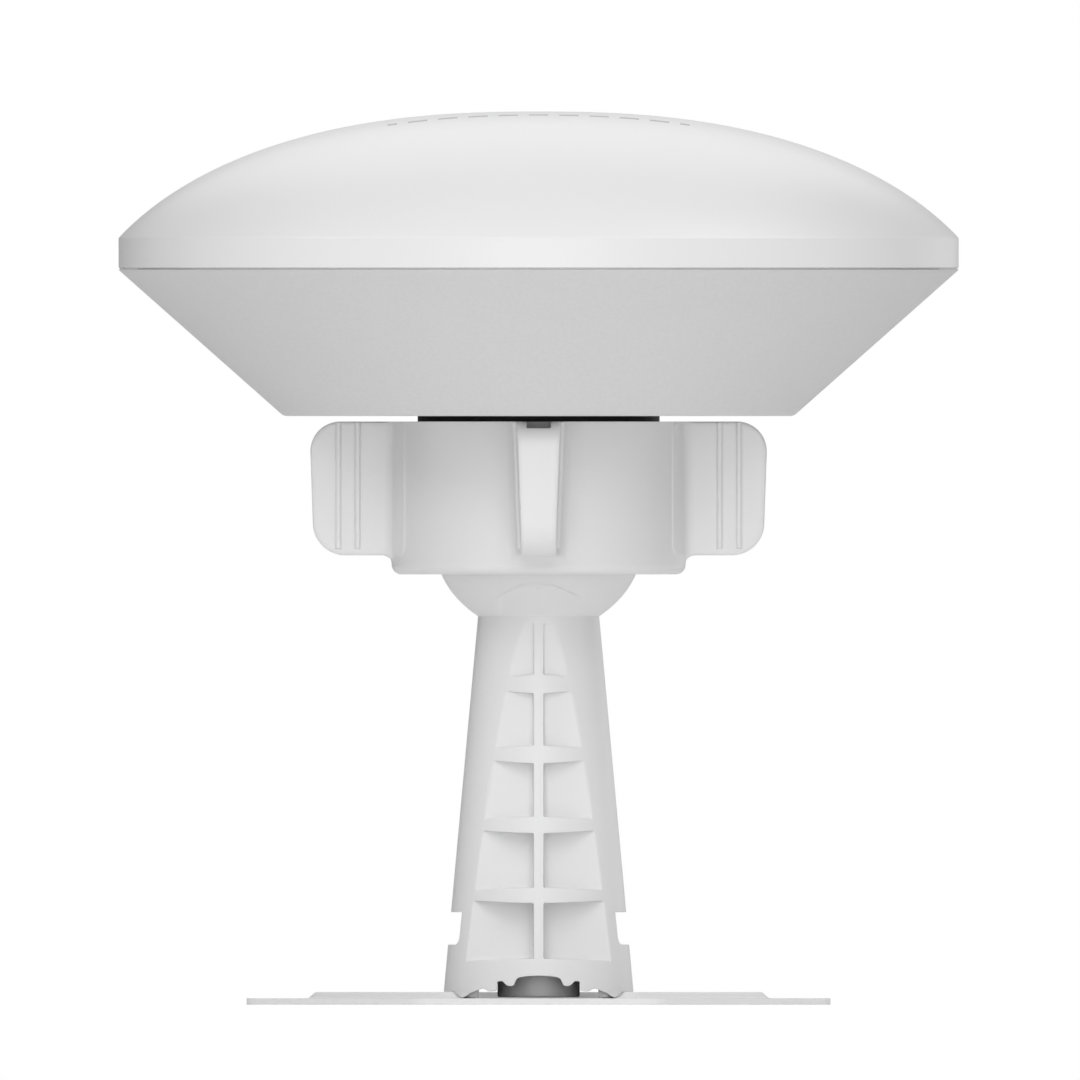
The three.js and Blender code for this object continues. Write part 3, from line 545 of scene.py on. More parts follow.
def plate_field(x, y, z):
    """The octagonal plate with its raised ring, which a channel cuts open to the front."""
    ramp = (RAISED_FOOT - RAISED_TOP) / 2
    inward = -octagon(x, y, RAISED_FOOT)
    channel = soften_max(np.abs(x) - CHANNEL_HALF, y - CHANNEL_END, CHANNEL_CORNER)
    raised = eased(inward / ramp) * eased(channel / CHANNEL_RAMP)
    under = eased((inward - 0.2) / ramp) * eased((channel - SHEET) / CHANNEL_RAMP)
    top = SHEET + (EMBOSS_Z - SHEET) * raised
    bottom = SHEET * under
    body = np.maximum(octagon(x, y, PLATE_WIDTH), np.maximum(z - top, bottom - z) * 0.75)
    u, v = around(x, y, 4, 45)
    holes = np.minimum(np.hypot(x, y) - STUD_HOLE_R, np.hypot(u - BOLT_CIRCLE_R, v) - BOLT_HOLE_R)
    screw = centre_of("arm_screw_1")
    radius = np.hypot(np.abs(x) - screw[0], np.abs(y) - screw[1])
    sink = (radius - np.clip(SINK_LOW_R - z, SINK_TOP_R, SINK_LOW_R)) * 0.75
    return cut(body, np.minimum(holes, sink), 0.1)


# ---- arm and ball --------------------------------------------

ARM_FOOT_R = 22.56
ARM_SLOPE = 0.0913     # loss of radius per unit of height
ARM_WALL = 2.4
ARM_RIB = 2.4
ARM_FLAT = 11.5        # half the hollow between its flat faces, which back the pockets
ARM_FLAT_IN = 1.3      # how much nearer they come under the neck
NECK_Z = 92.38
HOLLOW_TOP = 96
# The ball's own hollow, which opens at the crown.
BALL_HOLLOW_R, BALL_HOLLOW_LOW, BALL_HOLLOW_RISE = 22, 91, 17
BALL_MOUTH_R, BALL_MOUTH_RISE = 8.0, 20.5
# Solid feet inside the hollow's foot, which take the screws.
FEET_IN, FEET_TOP = 10.4, 13.4
# The ball's lowest part is a little flatter than the ball.
CHIN_Z, CHIN_R = 114.4, 26.25

POCKETS = 5
POCKET_FLOOR, POCKET_FLOOR_Z, POCKET_DRAFT = 14.2, 92, 0.0098
POCKET_LOW, POCKET_LOW_PITCH = 10.9, 16.93
POCKET_TOP, POCKET_TOP_PITCH = 24.1, 16.65
BAND_SWELL = 0.65      # how much thinner a band between pockets gets, on each side

STRAP_LOW, STRAP_HIGH, STRAP_HALF = 14.3, 22.0, 10.05
ARM_SCREW_HOLE_R, ARM_SCREW_HOLE_TOP = 1.7, 11.8

# The relief on the ball has a top that falls away on both sides, and a lip with a round crest.
RELIEF_TOP, RELIEF_TOP_HALF, RELIEF_FALL = 100.0, 3.4, 0.44
RELIEF_HALF = 10.2
RELIEF_FOOT_R, RELIEF_SLOPE = 14.0, 0.98
CREST_Z, CREST_R = 87.1, 14.0
LIP_HALF, LIP_PROUD = 9.8, 0.25

# The foot's underside from the middle outward: an arch, two teeth each side, and the side walls.
SADDLE = [
    (0, 6.88), (2.6, 6.75), (4.6, 6.45), (5.2, 6.1), (5.5, 5.5), (5.9, 4.6), (6.4, 4.42),
    (7.3, 4.42), (7.8, 4.7), (8.5, 5.5), (9.0, 5.6), (9.6, 5.5), (9.88, 5.2), (9.97, 3.4),
    (10.3, 3.22), (11.5, 3.12), (12.1, 3.2), (12.7, 3.65), (13.25, 3.85), (13.9, 3.7),
    (14.6, 3.35), (16.1, 2.8), (17.3, 1.95), (18.0, 1.65), (18.5, 1.75), (19.2, 2.3),
    (20.2, 3.04), (40, 3.04),
]
# Pads under the foot, round its screws.
PAD_LOW, PAD_HIGH, PAD_REACH = (14.2, 3.0, 1.65), (18.6, 13.6, 3.4), 21.2


def arm_radius(z):
    return ARM_FOOT_R - ARM_SLOPE * (z - EMBOSS_Z - GAP)


def pocket_field(ax, ay, z):
    """The pockets on both faces: flat floors, a rib down the middle, bands thickest there."""
    radius = arm_radius(z)
    floor = POCKET_FLOOR - (POCKET_FLOOR_Z - z) * POCKET_DRAFT
    edge = np.sqrt(np.maximum(radius ** 2 - floor ** 2, 9.0))
    thinner = BAND_SWELL * np.minimum(ax / edge, 1.15) ** 1.6
    pockets = np.inf
    for i in range(POCKETS):
        top = POCKET_TOP + POCKET_TOP_PITCH * i + (0.15 if i == POCKETS - 1 else thinner)
        low = POCKET_LOW + POCKET_LOW_PITCH * i - thinner
        pockets = np.minimum(pockets, soften_max(z - top, low - z, 0.3))
    pockets = soften_max(pockets, ARM_RIB / 2 - ax, 0.3)
    return soften_max(pockets, floor - ay, 0.5)


def relief_top(ax):
    return np.minimum(RELIEF_TOP, RELIEF_TOP - (ax - RELIEF_TOP_HALF) * RELIEF_FALL)


def relief_field(ax, r, z):
    """The shallow relief low on the ball: a coned facet with a faint rib up its middle."""
    rib = 0.15 * ((ax < 0.65) & (z < 96.6))
    dot = 0.4 * np.clip(1.4 - np.hypot(ax, z - 98.9) / 0.45, 0, 1)
    facet = (RELIEF_FOOT_R + RELIEF_SLOPE * (z - NECK_Z) + rib + dot - r) * 0.7
    facet = soften_max(facet, (ax - RELIEF_HALF) * 0.6, 1.4)
    return soften_max(soften_max(NECK_Z - z, facet, 1.0), z - relief_top(ax), 0.4)


def lip_field(ax, ay, z):
    """The thin upright lip over the relief. At full tilt the ring's mouth clears it, but the
    facets of the CAD's collet don't."""
    crest = CREST_Z + np.sqrt(np.maximum(CREST_R ** 2 - ax ** 2, 0))
    wall = np.sqrt(np.maximum(BALL_R ** 2 - ax ** 2 - (crest - BALL_Z) ** 2, 1)) - 0.2
    from_ball = np.hypot(np.hypot(ax, ay), z - BALL_Z)
    lip = np.maximum(ay - wall, from_ball - BALL_R - LIP_PROUD)
    lip = np.maximum(lip, np.maximum(ax - LIP_HALF, relief_top(ax) - z))
    return np.maximum(lip, RELIEF_FOOT_R - ay)


def arm_field(x, y, z):
    """The hollow arm with the ball on top, its pockets, strap slots and toothed foot."""
    ax, ay = np.abs(x), np.abs(y)
    r = np.hypot(x, y)
    radius = arm_radius(z)
    from_ball = np.hypot(r, z - BALL_Z)
    chin = np.hypot(r, z - CHIN_Z) - CHIN_R
    post = np.maximum((r - radius) * 0.996, z - NECK_Z)
    body = join(post, np.maximum(from_ball - BALL_R, chin), 0.15)

    flat = ay - ARM_FLAT + ARM_FLAT_IN * np.clip((z - 84) / 6, 0, 1)
    hollow = np.maximum((r - radius + ARM_WALL) * 0.996, flat)
    hollow = np.maximum(hollow, z - HOLLOW_TOP)
    feet = np.maximum(FEET_IN - ax, z - FEET_TOP)
    hollow = cut(hollow, feet, 0.8)
    hollow_ball = np.maximum(from_ball - BALL_HOLLOW_R, z - BALL_Z - BALL_HOLLOW_RISE)
    hollow_ball = np.maximum(hollow_ball, np.where(z < 104, flat, BALL_HOLLOW_LOW - z))
    body = cut(body, join(hollow, hollow_ball, 1.0), 0.3)

    body = cut(body, pocket_field(ax, ay, z), 0.18)
    body = join(cut(body, relief_field(ax, r, z), 0.12), lip_field(ax, ay, z), 0.05)

    slot_v = z - (STRAP_LOW + STRAP_HIGH) / 2
    slot_half = (STRAP_HIGH - STRAP_LOW) / 2
    slot = np.where(slot_v < 0, rounded_rectangle(y, slot_v, STRAP_HALF, slot_half, 1.8),
                    np.maximum(ay - STRAP_HALF, slot_v - slot_half))
    body = cut(body, np.maximum(slot, 12 - ax), 0.1)

    body = cut(body, np.maximum(r - BALL_MOUTH_R, BALL_Z + BALL_MOUTH_RISE - z), 0.3)
    screw = centre_of("arm_screw_1")
    screw_hole = np.hypot(ax - screw[0], ay - screw[1]) - ARM_SCREW_HOLE_R
    body = cut(body, np.maximum(screw_hole, z - ARM_SCREW_HOLE_TOP), 0.1)
    underside = np.interp(ax, [k[0] for k in SADDLE], [k[1] for k in SADDLE])
    body = soften_max(body, (underside - z) * 0.8, 0.08)
    pad = np.maximum(box_field(ax, ay, z, PAD_LOW, PAD_HIGH), r - PAD_REACH)
    return join(body, np.maximum(pad, -screw_hole), 0.1)


# ---- lock ring -----------------------------------------------

RING_R = 35.0
RING_ROUND = 2.4
RING_FLOOR = 2.1
MOUTH_TOP = 110
BORE_R = 29.2
WING_LOW = 106.95
WING_REACH, WING_REACH_Z, WING_TAPER = 54.35, 132, 0.035
WING_CORNER = 7.4
# The hollow in each wing from above, which leaves thin walls.
CORE_HALF, CORE_MIDDLE, CORE_REACH, CORE_LOW = 2.85, 44.75, 6.8, 112
# The narrow strips that stand proud beside the side wings.
STRIP_HALF, STRIP_PROUD = 14.6, 0.25
THREAD_PITCH = 4.0
THREAD_DEPTH = 0.8
GRIP_RIBS = (43.1, 47.7)
GRIP_RIB_LOW = 108.6


def wing_half(along, z):
    """Half the wing's thickness: it thins towards its tip and its foot."""
    return 0.5 * (10.5 + (54 - along) * 0.0737 - (RING_HIGH[2] - z) * 0.0755)


def ring_field(x, y, z):
    """The ring with its four wings, its side strips, and a threaded bore over the ball's mouth."""
    r = np.hypot(x, y)
    top, bottom = RING_HIGH[2], RING_LOW[2]
    foot_r, foot_z = r - (RING_R - RING_ROUND), bottom + RING_ROUND - z
    rounded = np.hypot(foot_r, foot_z) - RING_ROUND
    foot = np.where((foot_r > 0) & (foot_z > 0), rounded, bottom - z)
    body = np.maximum(np.maximum(r - RING_R, z - top), foot)

    ax, ay = np.abs(x), np.abs(y)
    along, across = np.maximum(ax, ay), np.minimum(ax, ay)
    reach = WING_REACH - WING_TAPER * (WING_REACH_Z - z)
    middle, half = (top + WING_LOW) / 2, (top - WING_LOW) / 2
    out = along - reach + WING_CORNER
    over = np.abs(z - middle) - half + WING_CORNER
    corner = np.hypot(np.maximum(out, 0), np.maximum(over, 0)) - WING_CORNER
    straight = np.maximum(along - reach, np.abs(z - middle) - half)
    outline = np.where((out > 0) & (over > 0), corner, straight)
    wing = soften_max(outline, across - wing_half(along, z), 0.8)
    strip = rounded_rectangle(y, z - middle, STRIP_HALF, half, 3.0)
    strip = np.maximum(strip, np.maximum(r - RING_R - STRIP_PROUD, 30 - ax))
    body = join(body, strip, 0.4)
    whole = np.maximum(join(body, wing, 2.2), z - top)

    core = np.maximum(across - CORE_HALF, np.abs(along - CORE_MIDDLE) - CORE_REACH)
    whole = cut(whole, np.maximum(core, CORE_LOW - z), 0.2)
    bore = BORE_R + THREAD_DEPTH * thread(x, y, z, THREAD_PITCH)
    whole = cut(whole, np.maximum((r - bore) * 0.8, bottom + RING_FLOOR - z), 0.2)
    mouth = np.hypot(r, z - BALL_Z) - (BALL_R + 0.4)
    return cut(whole, np.maximum(mouth, z - MOUTH_TOP), 0.2)


def grip_rib(along, side):
    """One raised rib down a wing's flank, for the wing that reaches along +X."""
    heights = np.linspace(RING_HIGH[2] - 0.2, GRIP_RIB_LOW, 30)
    profile = [(-0.72, -0.4), (-0.72, 0.05), (-0.36, 0.62)]
    profile += [(0.3, 0.62), (0.72, 0.05), (0.72, -0.4)]
    points = [(along + u, side * (wing_half(along, z) + v), z)
              for z in heights for u, v in profile]
    count = len(profile)
    faces = []
    for i in range(len(heights) - 1):
        for j in range(count):
            a, b = i * count + j, i * count + (j + 1) % count
            faces.append((a, b, b + count, a + count))
    last = (len(heights) - 1) * count
    for start in (0, last):
        faces.append((start, start + 1, start + 4, start + 5))
        faces.append((start + 1, start + 2, start + 3, start + 4))
    return np.array(points), np.array(faces)


def make_ring():
    """The ring's skin with two raised ribs on each flank of its wings."""
    skin = skin_of(ring_field, RING_LOW - 1.2, RING_HIGH + 1.2, 0.5)
    ribs = []
    for turn in range(4):
        spin = Matrix.Rotation(turn * math.pi / 2, 4, "Z")
        for along in GRIP_RIBS:
            ribs += [moved(grip_rib(along, side), turn=spin) for side in (-1, 1)]
    piece("lock_ring", mesh_from("lock_ring", *merged(skin, *ribs)))


# ---- collar --------------------------------------------------

COLLAR_R = 28.8
COLLAR_BORE_R = 26.2
CUP_ROOM_R, CUP_ROOM_Z = 28.3, BALL_Z + 12.6
NOTCH_HALF, NOTCH_DEPTH = 2.8, 4.5
COLLAR_SCREWS_R = 33
FLOOR_Z = HOUSING_LOW[2] + 3.5
FLANGE_Z = FLOOR_Z + GAP


def collar_field(x, y, z):
    """The threaded collar: room for the cup inside, notches for the collet's keys, a flange."""
    r = np.hypot(x, y)
    groove = THREAD_DEPTH * (1 - thread(x, y, z, THREAD_PITCH)) * (z < RING_HIGH[2] - 1)
    tube = np.maximum((r - COLLAR_R + groove) * 0.8, z - COLLAR_HIGH[2])
    flange = np.maximum(r - COLLAR_HIGH[0], np.maximum(z - COLLAR_HIGH[2], FLANGE_Z - z))
    body = np.maximum(join(tube, flange, 0.3), COLLAR_LOW[2] - z)
    cup_room = np.maximum(np.hypot(r, z - BALL_Z) - CUP_ROOM_R, CUP_ROOM_Z - z)
    bore = np.maximum(r - COLLAR_BORE_R, z - BALL_Z - 12.7)
    notch = np.maximum(np.abs(y) - NOTCH_HALF, 20 - np.abs(x))
    notch = np.maximum(notch, z - COLLAR_LOW[2] - NOTCH_DEPTH)
    u, v = around(x, y, 4, 45)
    holes = np.hypot(u - COLLAR_SCREWS_R, v) - 1.7
    return cut(body, np.minimum(np.minimum(cup_room, bore), np.minimum(notch, holes)), 0.15)


# ---- lower housing -------------------------------------------

FLAT_R = 60.7
CONE_TOP = SEAM_Z - 0.2
CONE_RISE = (RIM_R - FLAT_R) / (CONE_TOP - HOUSING_LOW[2])
SLOPE_COS = 1 / math.hypot(1, CONE_RISE)
SLOPE_SIN = CONE_RISE * SLOPE_COS
SHELL_WALL = 4.5
HOLLOW_R = 90.5
NECK_BORE_R = 29.1
GROOVE_R, GROOVE_HALF, GROOVE_DEPTH = 94.5, 1.3, 1.8    # the gasket's groove in the rim
HOUSING_SCREWS_R, PILLAR_R = 54, 5.4
SPLIT_Z = 172.0        # where the pillars of the housing and the radome meet
POSTS_R, POST_R, POST_TOP = 42, 3.4, 148.7
PORT_BLOCK = (-25, 61, 146.8), (25, 110, 172.4)
LIGHT_PITCH = 6
SCREW_BORE_R, SCREW_SINK_R, SCREW_SINK_Z = 2.3, 4, 145
HINGE_R = 2.4
HINGE_HALF = 12.0
EAR = 3.2
PIN_R = 0.9
# The cover's seat lies this far down the slope from the hinge's axis.
SEAT_HALF, SEAT_NEAR, SEAT_FAR, SEAT_DEPTH = 22.1, 3.6, 31.2, 5.7
SEAT_MIDDLE, SEAT_REACH = (SEAT_NEAR + SEAT_FAR) / 2, (SEAT_FAR - SEAT_NEAR) / 2
WEB_HALF = 2.3
WELL_HALF, WELL_LOW, WELL_HIGH, WELL_IN = 19.0, 152.6, 163.3, 56
PORT_REAR = 30         # the port's shapes count behind this Y only
PANEL_HALF, PANEL_BACK, PANEL_Z, PANEL_HALF_Z = 20.8, 63, 155.05, 9.25


def cone_radius(z):
    return FLAT_R + CONE_RISE * (z - HOUSING_LOW[2])


def moved_in(r, z, distance):
    """Distance to the cone after its surface is moved in, level, by the given distance."""
    return (r - cone_radius(z) + distance) * SLOPE_COS


def down_slope(y, z):
    """Distances from the hinge's axis, down the rear of the cone."""
    return -(y - HINGE_Y) * SLOPE_SIN - (z - HINGE_Z) * SLOPE_COS


def port_hollow(x, y, z, r):
    """What is cut out for the port: the cover's seat, its hinge, and room for the sockets."""
    ax = np.abs(x)
    down = down_slope(y, z)
    seat = rounded_rectangle(x, down - SEAT_MIDDLE, SEAT_HALF, SEAT_REACH, 2.0)
    seat = np.maximum(seat, -moved_in(r, z, SEAT_DEPTH))
    well_middle, well_reach = (WELL_LOW + WELL_HIGH) / 2, (WELL_HIGH - WELL_LOW) / 2
    well = rounded_rectangle(x, z - well_middle, WELL_HALF, well_reach, 1.2)
    panel = np.maximum(ax - PANEL_HALF, np.abs(z - PANEL_Z) - PANEL_HALF_Z)
    panel = np.maximum(panel, y - PANEL_BACK)
    axis = np.hypot(y - HINGE_Y, z - HINGE_Z)
    groove = np.maximum(axis - HINGE_R - 0.4, ax - HINGE_HALF - GAP)
    web = np.maximum(ax - HINGE_HALF - GAP, np.abs(down - WEB_HALF) - WEB_HALF)
    web = np.maximum(web, -moved_in(r, z, 4.2))
    hollow = np.minimum(np.minimum(seat, np.maximum(well, WELL_IN - y)), np.minimum(groove, web))
    return np.maximum(np.minimum(hollow, panel), PORT_REAR - y)


def housing_field(x, y, z):
    """The conical shell: pillars and posts inside, bores in its floor, the port behind."""
    r = np.hypot(x, y)
    ax = np.abs(x)
    low = HOUSING_LOW[2]
    solid = np.maximum(np.maximum(moved_in(r, z, 0), r - RIM_R), z - SEAM_Z)
    solid = soften_max(solid, low - z, 0.5)
    inner = np.maximum(np.maximum(moved_in(r, z, SHELL_WALL), r - HOLLOW_R), FLOOR_Z - z)
    shell = cut(solid, inner, 0.3)
    shell = cut(shell, np.maximum(np.abs(r - GROOVE_R) - GROOVE_HALF, SEAM_Z - GROOVE_DEPTH - z))

    u, v = around(x, y, 6)
    screw = np.hypot(u - HOUSING_SCREWS_R, v)
    p, q = around(x, y, 4, 45)
    post = np.hypot(p - POSTS_R, q)
    pillars = np.minimum(np.maximum(screw - PILLAR_R, z - SPLIT_Z),
                         np.maximum(post - POST_R, z - POST_TOP))
    block = np.maximum(box_field(x, y, z, *PORT_BLOCK), moved_in(r, z, 0))
    pillars = np.minimum(pillars, block)
    shell = join(shell, np.maximum(pillars, FLOOR_Z - 1 - z), 0.6)
    shell = np.maximum(shell, solid)

    sinks = np.maximum(screw - SCREW_SINK_R, z - SCREW_SINK_Z)
    holes = np.minimum(screw - SCREW_BORE_R, sinks)
    holes = np.minimum(r - NECK_BORE_R, holes)
    holes = np.minimum(holes, np.maximum(post - 1.8, FLOOR_Z + 0.5 - z))
    holes = np.minimum(holes, np.maximum(np.hypot(p - COLLAR_SCREWS_R, q) - 1.8, low + 0.9 - z))
    nearest = ax - LIGHT_PITCH * (ax > LIGHT_PITCH / 2)
    lights = np.hypot(nearest, y - centre_of("light_pipe_1")[1]) - 1.8
    vent = centre_of("pressure_vent")
    holes = np.minimum(holes, np.minimum(lights, np.hypot(x - vent[0], y - vent[1]) - 5.3))
    shell = cut(shell, holes, 0.25)
    shell = cut(shell, port_hollow(x, y, z, r), 0.25)

    axis = np.hypot(y - HINGE_Y, z - HINGE_Z)
    ears = np.maximum(axis - HINGE_R, np.abs(ax - HINGE_HALF - GAP - EAR / 2) - EAR / 2)
    return cut(join(shell, ears, 0.5), np.maximum(axis - PIN_R - GAP, ax - 18))


def cover_field(x, y, z):
    """The hinged cover, which follows the cone, with a barrel on the axis and finger grooves."""
    r = np.hypot(x, y)
    ax = np.abs(x)
    down = down_slope(y, z)
    plate = rounded_rectangle(x, down - SEAT_MIDDLE, SEAT_HALF - 0.4, SEAT_REACH - 0.5, 1.8)
    web = np.maximum(ax - HINGE_HALF, np.abs(down - WEB_HALF) - WEB_HALF)
    skin = soften_max(join(plate, web, 0.5), moved_in(r, z, 0), 0.5)
    skin = soften_max(skin, -moved_in(r, z, 3.3), 0.2)
    rows = (down - SEAT_FAR + 6) / 1.6
    grip = np.abs(rows - np.round(rows)) * 1.6
    grooves = np.maximum(np.maximum(grip - 0.4, np.abs(down - SEAT_FAR + 5.2) - 2.4), ax - 8)
    skin = cut(skin, np.maximum(grooves, -moved_in(r, z, 0.6)), 0.15)
    axis = np.hypot(y - HINGE_Y, z - HINGE_Z)
    barrel = np.maximum(axis - HINGE_R, ax - HINGE_HALF)
    return cut(join(skin, barrel, 0.4), np.maximum(axis - PIN_R - GAP, ax - 20))


# ---- radome --------------------------------------------------

DOME_DROP, DOME_SPAN = 51.0, 110.3
DOME_POWER_R, DOME_POWER_Z = 2.4, 1.75
DOME_WALL = 3.1
LIP_IN_R, LEDGE_R = 96.4, 91.0


def dome_z(r):
    """Height of the dome: a superellipse cut by the rim."""
    left = 1 - (np.asarray(r) / DOME_SPAN) ** DOME_POWER_R
    return RADOME_HIGH[2] - DOME_DROP * (1 - left ** (1 / DOME_POWER_Z))


def make_radome():
    """The dome as one turned shell with six screw posts hanging inside."""
    bottom = SEAM_Z + GAP
    outer_r = (RIM_R - 0.45) * np.sin(np.linspace(0, np.pi / 2, 70))
    outer = [(r, float(dome_z(r))) for r in outer_r]
    shoulder = float(dome_z(RIM_R))
    rim = [(RIM_R - 0.15, shoulder + 0.12), (RIM_R, shoulder - 0.12)]
    rim += [(RIM_R, bottom + 0.12), (RIM_R - 0.12, bottom)]
    lip = [(RIM_R - 0.3, bottom), (RIM_R - 0.3, SEAM_Z + 0.05)]
    lip += [(LIP_IN_R, SEAM_Z + 0.05), (LIP_IN_R, bottom)]
    wall_r = RIM_R - 3.2
    ledge = [(LEDGE_R, bottom), (LEDGE_R, bottom + 2.5), (wall_r, bottom + 2.5)]
    inner_r = wall_r * np.sin(np.linspace(np.pi / 2, 0, 30))
    inner = [(r, float(dome_z(r)) - DOME_WALL) for r in inner_r]
    shell = turned(outer + rim + lip + ledge + inner, segments=320)

    top = float(dome_z(HOUSING_SCREWS_R)) - 1.5
    low = SPLIT_Z + GAP
    post = turned([(4.4, top), (4.4, low), (2.3, low), (2.3, low + 20), (0, low + 20)], segments=32)
    posts = []
    for a in np.radians(np.arange(0, 360, 60)):
        place = (HOUSING_SCREWS_R * math.cos(a), HOUSING_SCREWS_R * math.sin(a), 0)
        posts.append(moved(post, place))
    piece("radome", mesh_from("radome", *merged(shell, *posts)))


# ---- small turned pieces -------------------------------------

THREAD_STEP = 0.5
# Radius and height of the head, radius of the shank, and whether the screw points up.
SCREWS = {
    "housing_screw": (3.6, 3.2, 2.0, True),
    "collar_screw": (2.7, 1.5, 1.5, False),
    "board_screw": (2.8, 1.8, 1.5, False),
}


def make_screws():
    """Machine screws: a chamfered head with a six-sided recess, and a shank with grooves."""
    for node in frame["nodes"]:
        kind = node.rsplit("_", 1)[0]
        if kind not in SCREWS:
            continue
        head_r, head, shank_r, up = SCREWS[kind]
        low, high = box(node)
        length = high[2] - low[2]
        socket = head_r * 0.5
        profile = [(0, 0.6 * head), (socket, 0.6 * head, 6), (socket, 0.0, 6), (head_r - 0.4, 0)]
        profile += [(head_r, 0.4), (head_r, head - 0.2), (head_r - 0.2, head), (shank_r, head)]
        turns = int((length - head - 1) / THREAD_STEP)
        for i in range(turns):
            depth = 0.22 * (i % 2)
            profile.append((shank_r - depth, head + THREAD_STEP + THREAD_STEP * i))
        profile += [(shank_r - 0.4, length), (0, length)]
        shape = turned(profile, segments=36)
        middle = (low + high) / 2
        start = (middle[0], middle[1], low[2] if up else high[2])
        piece(node, mesh_from(node, *moved(shape, start, None if up else UPSIDE_DOWN)))


def stand(node, profile, segments):
    """The node's piece: a profile turned about the upright axis of its box."""
    middle = centre_of(node)
    shape = moved(turned(profile, segments), (middle[0], middle[1], 0))
    piece(node, mesh_from(node, *shape))


def make_arm_screws():
    """Countersunk screws that hold the foot to the plate, with six-sided recesses below."""
    for i in range(1, 5):
        node = f"arm_screw_{i}"
        low, high = box(node)
        z0, z1 = low[2], high[2]
        profile = [(0, z0 + 1.0), (1.2, z0 + 1.0, 6), (1.2, z0, 6), (2.75, z0)]
        profile += [(2.9, z0 + 0.12), (1.5, z0 + 1.4)]
        turns = int((z1 - z0 - 2.4) / THREAD_STEP)
        profile += [(1.5 - 0.2 * (k % 2), z0 + 1.8 + THREAD_STEP * k) for k in range(turns)]
        profile += [(1.2, z1), (0, z1)]
        stand(node, profile, 36)


def make_light_pipes():
    for i in range(1, 4):
        node = f"light_pipe_{i}"
        low, high = box(node)
        z0, z1, r = low[2], high[2], 1.5
        profile = [(0, z0 + 0.25), (0.9, z0 + 0.15), (r - 0.2, z0), (r, z0 + 0.2), (r, z1), (0, z1)]
        stand(node, profile, 32)


def make_vent():
    """The vent's cap, with three ring grooves round a dimple."""
    low, high = box("pressure_vent")
    z0 = low[2]
    rows = [(0, z0 + 0.5), (0.5, z0 + 0.5), (0.7, z0 + 0.1)]
    for r in (1.6, 2.6, 3.6):
        rows += [(r - 0.3, z0 + 0.1), (r - 0.2, z0 + 0.6), (r + 0.2, z0 + 0.6), (r + 0.3, z0 + 0.1)]
    rows += [(4.8, z0), (5.0, z0 + 0.2), (5.0, high[2]), (0, high[2])]
    stand("pressure_vent", rows, 64)


def make_gasket():
    """The seal in the rim's groove, with a top of two small lips."""
    z0, z1 = box("housing_gasket")[0][2], SEAM_Z + 0.25
    seal = [(93.5, z0), (95.5, z0), (95.5, z1 - 0.3), (95.0, z1)]
    seal += [(94.5, z1 - 0.25), (94.0, z1), (93.5, z1 - 0.3)]
    piece("housing_gasket", mesh_from("housing_gasket", *turned(seal, 200, closed=True)))


def make_cover_pin():
    half = box("cover_pin")[1][0]
    pin = [(0, -half), (PIN_R - 0.15, -half), (PIN_R, -half + 0.15)]
    pin += [(PIN_R, half - 0.15), (PIN_R - 0.15, half), (0, half)]
    shape = moved(turned(pin, 32), (0, HINGE_Y, HINGE_Z), ALONG_X)
    piece("cover_pin", mesh_from("cover_pin", *shape))


BOSS_BORE_R, BOSS_MOUTH_R = 6.8, 8.2
SURVEY_PITCH, SURVEY_DEPTH = 2.309, 1.2    # a 5/8-11 thread


def boss_field(x, y, z):
    """The round post with its threaded bore, flared at both ends."""
    r = np.hypot(x, y)
    body = soften_max(r - BOSS_HIGH[0], np.maximum(z - BOSS_HIGH[2], BOSS_LOW[2] - z), 0.5)
    bore = BOSS_BORE_R + SURVEY_DEPTH * thread(x, y, z, SURVEY_PITCH)
    mouth = r - BOSS_MOUTH_R
    flare = np.maximum(mouth + (BOSS_HIGH[2] - z) * 1.2, mouth + (z - BOSS_LOW[2]) * 1.2)
    return cut(body, np.minimum((r - bore) * 0.7, flare * 0.6), 0.1)


def make_ball_seats():
    """The friction pad and the cup, as turned spherical shells about the ball's centre."""
    low, high = box("friction_pad")
    pad_r = high[0]
    crown = arc((0, BALL_Z), BALL_R, 90, math.degrees(math.acos(pad_r / BALL_R)), 10)
    pad = crown + [(pad_r, low[2] + 0.1), (pad_r - 0.2, low[2]), (0, low[2])]
    piece("friction_pad", mesh_from("friction_pad", *turned(pad, 96)))

    inner_r, outer_r, edge = BALL_R + GAP, box("ball_cup")[1][2] - BALL_Z, 13.0
    inner = arc((0, BALL_Z), inner_r, 90, math.degrees(math.asin(edge / inner_r)), 14)
    outer = arc((0, BALL_Z), outer_r, math.degrees(math.asin(edge / outer_r)), 90, 14)
    piece("ball_cup", mesh_from("ball_cup", *turned(inner + outer, 128)))


# ---- sockets and button --------------------------------------

CONTACT_PITCH = 1.27
CONTACT_FIRST, CONTACT_LAST = -4, 3


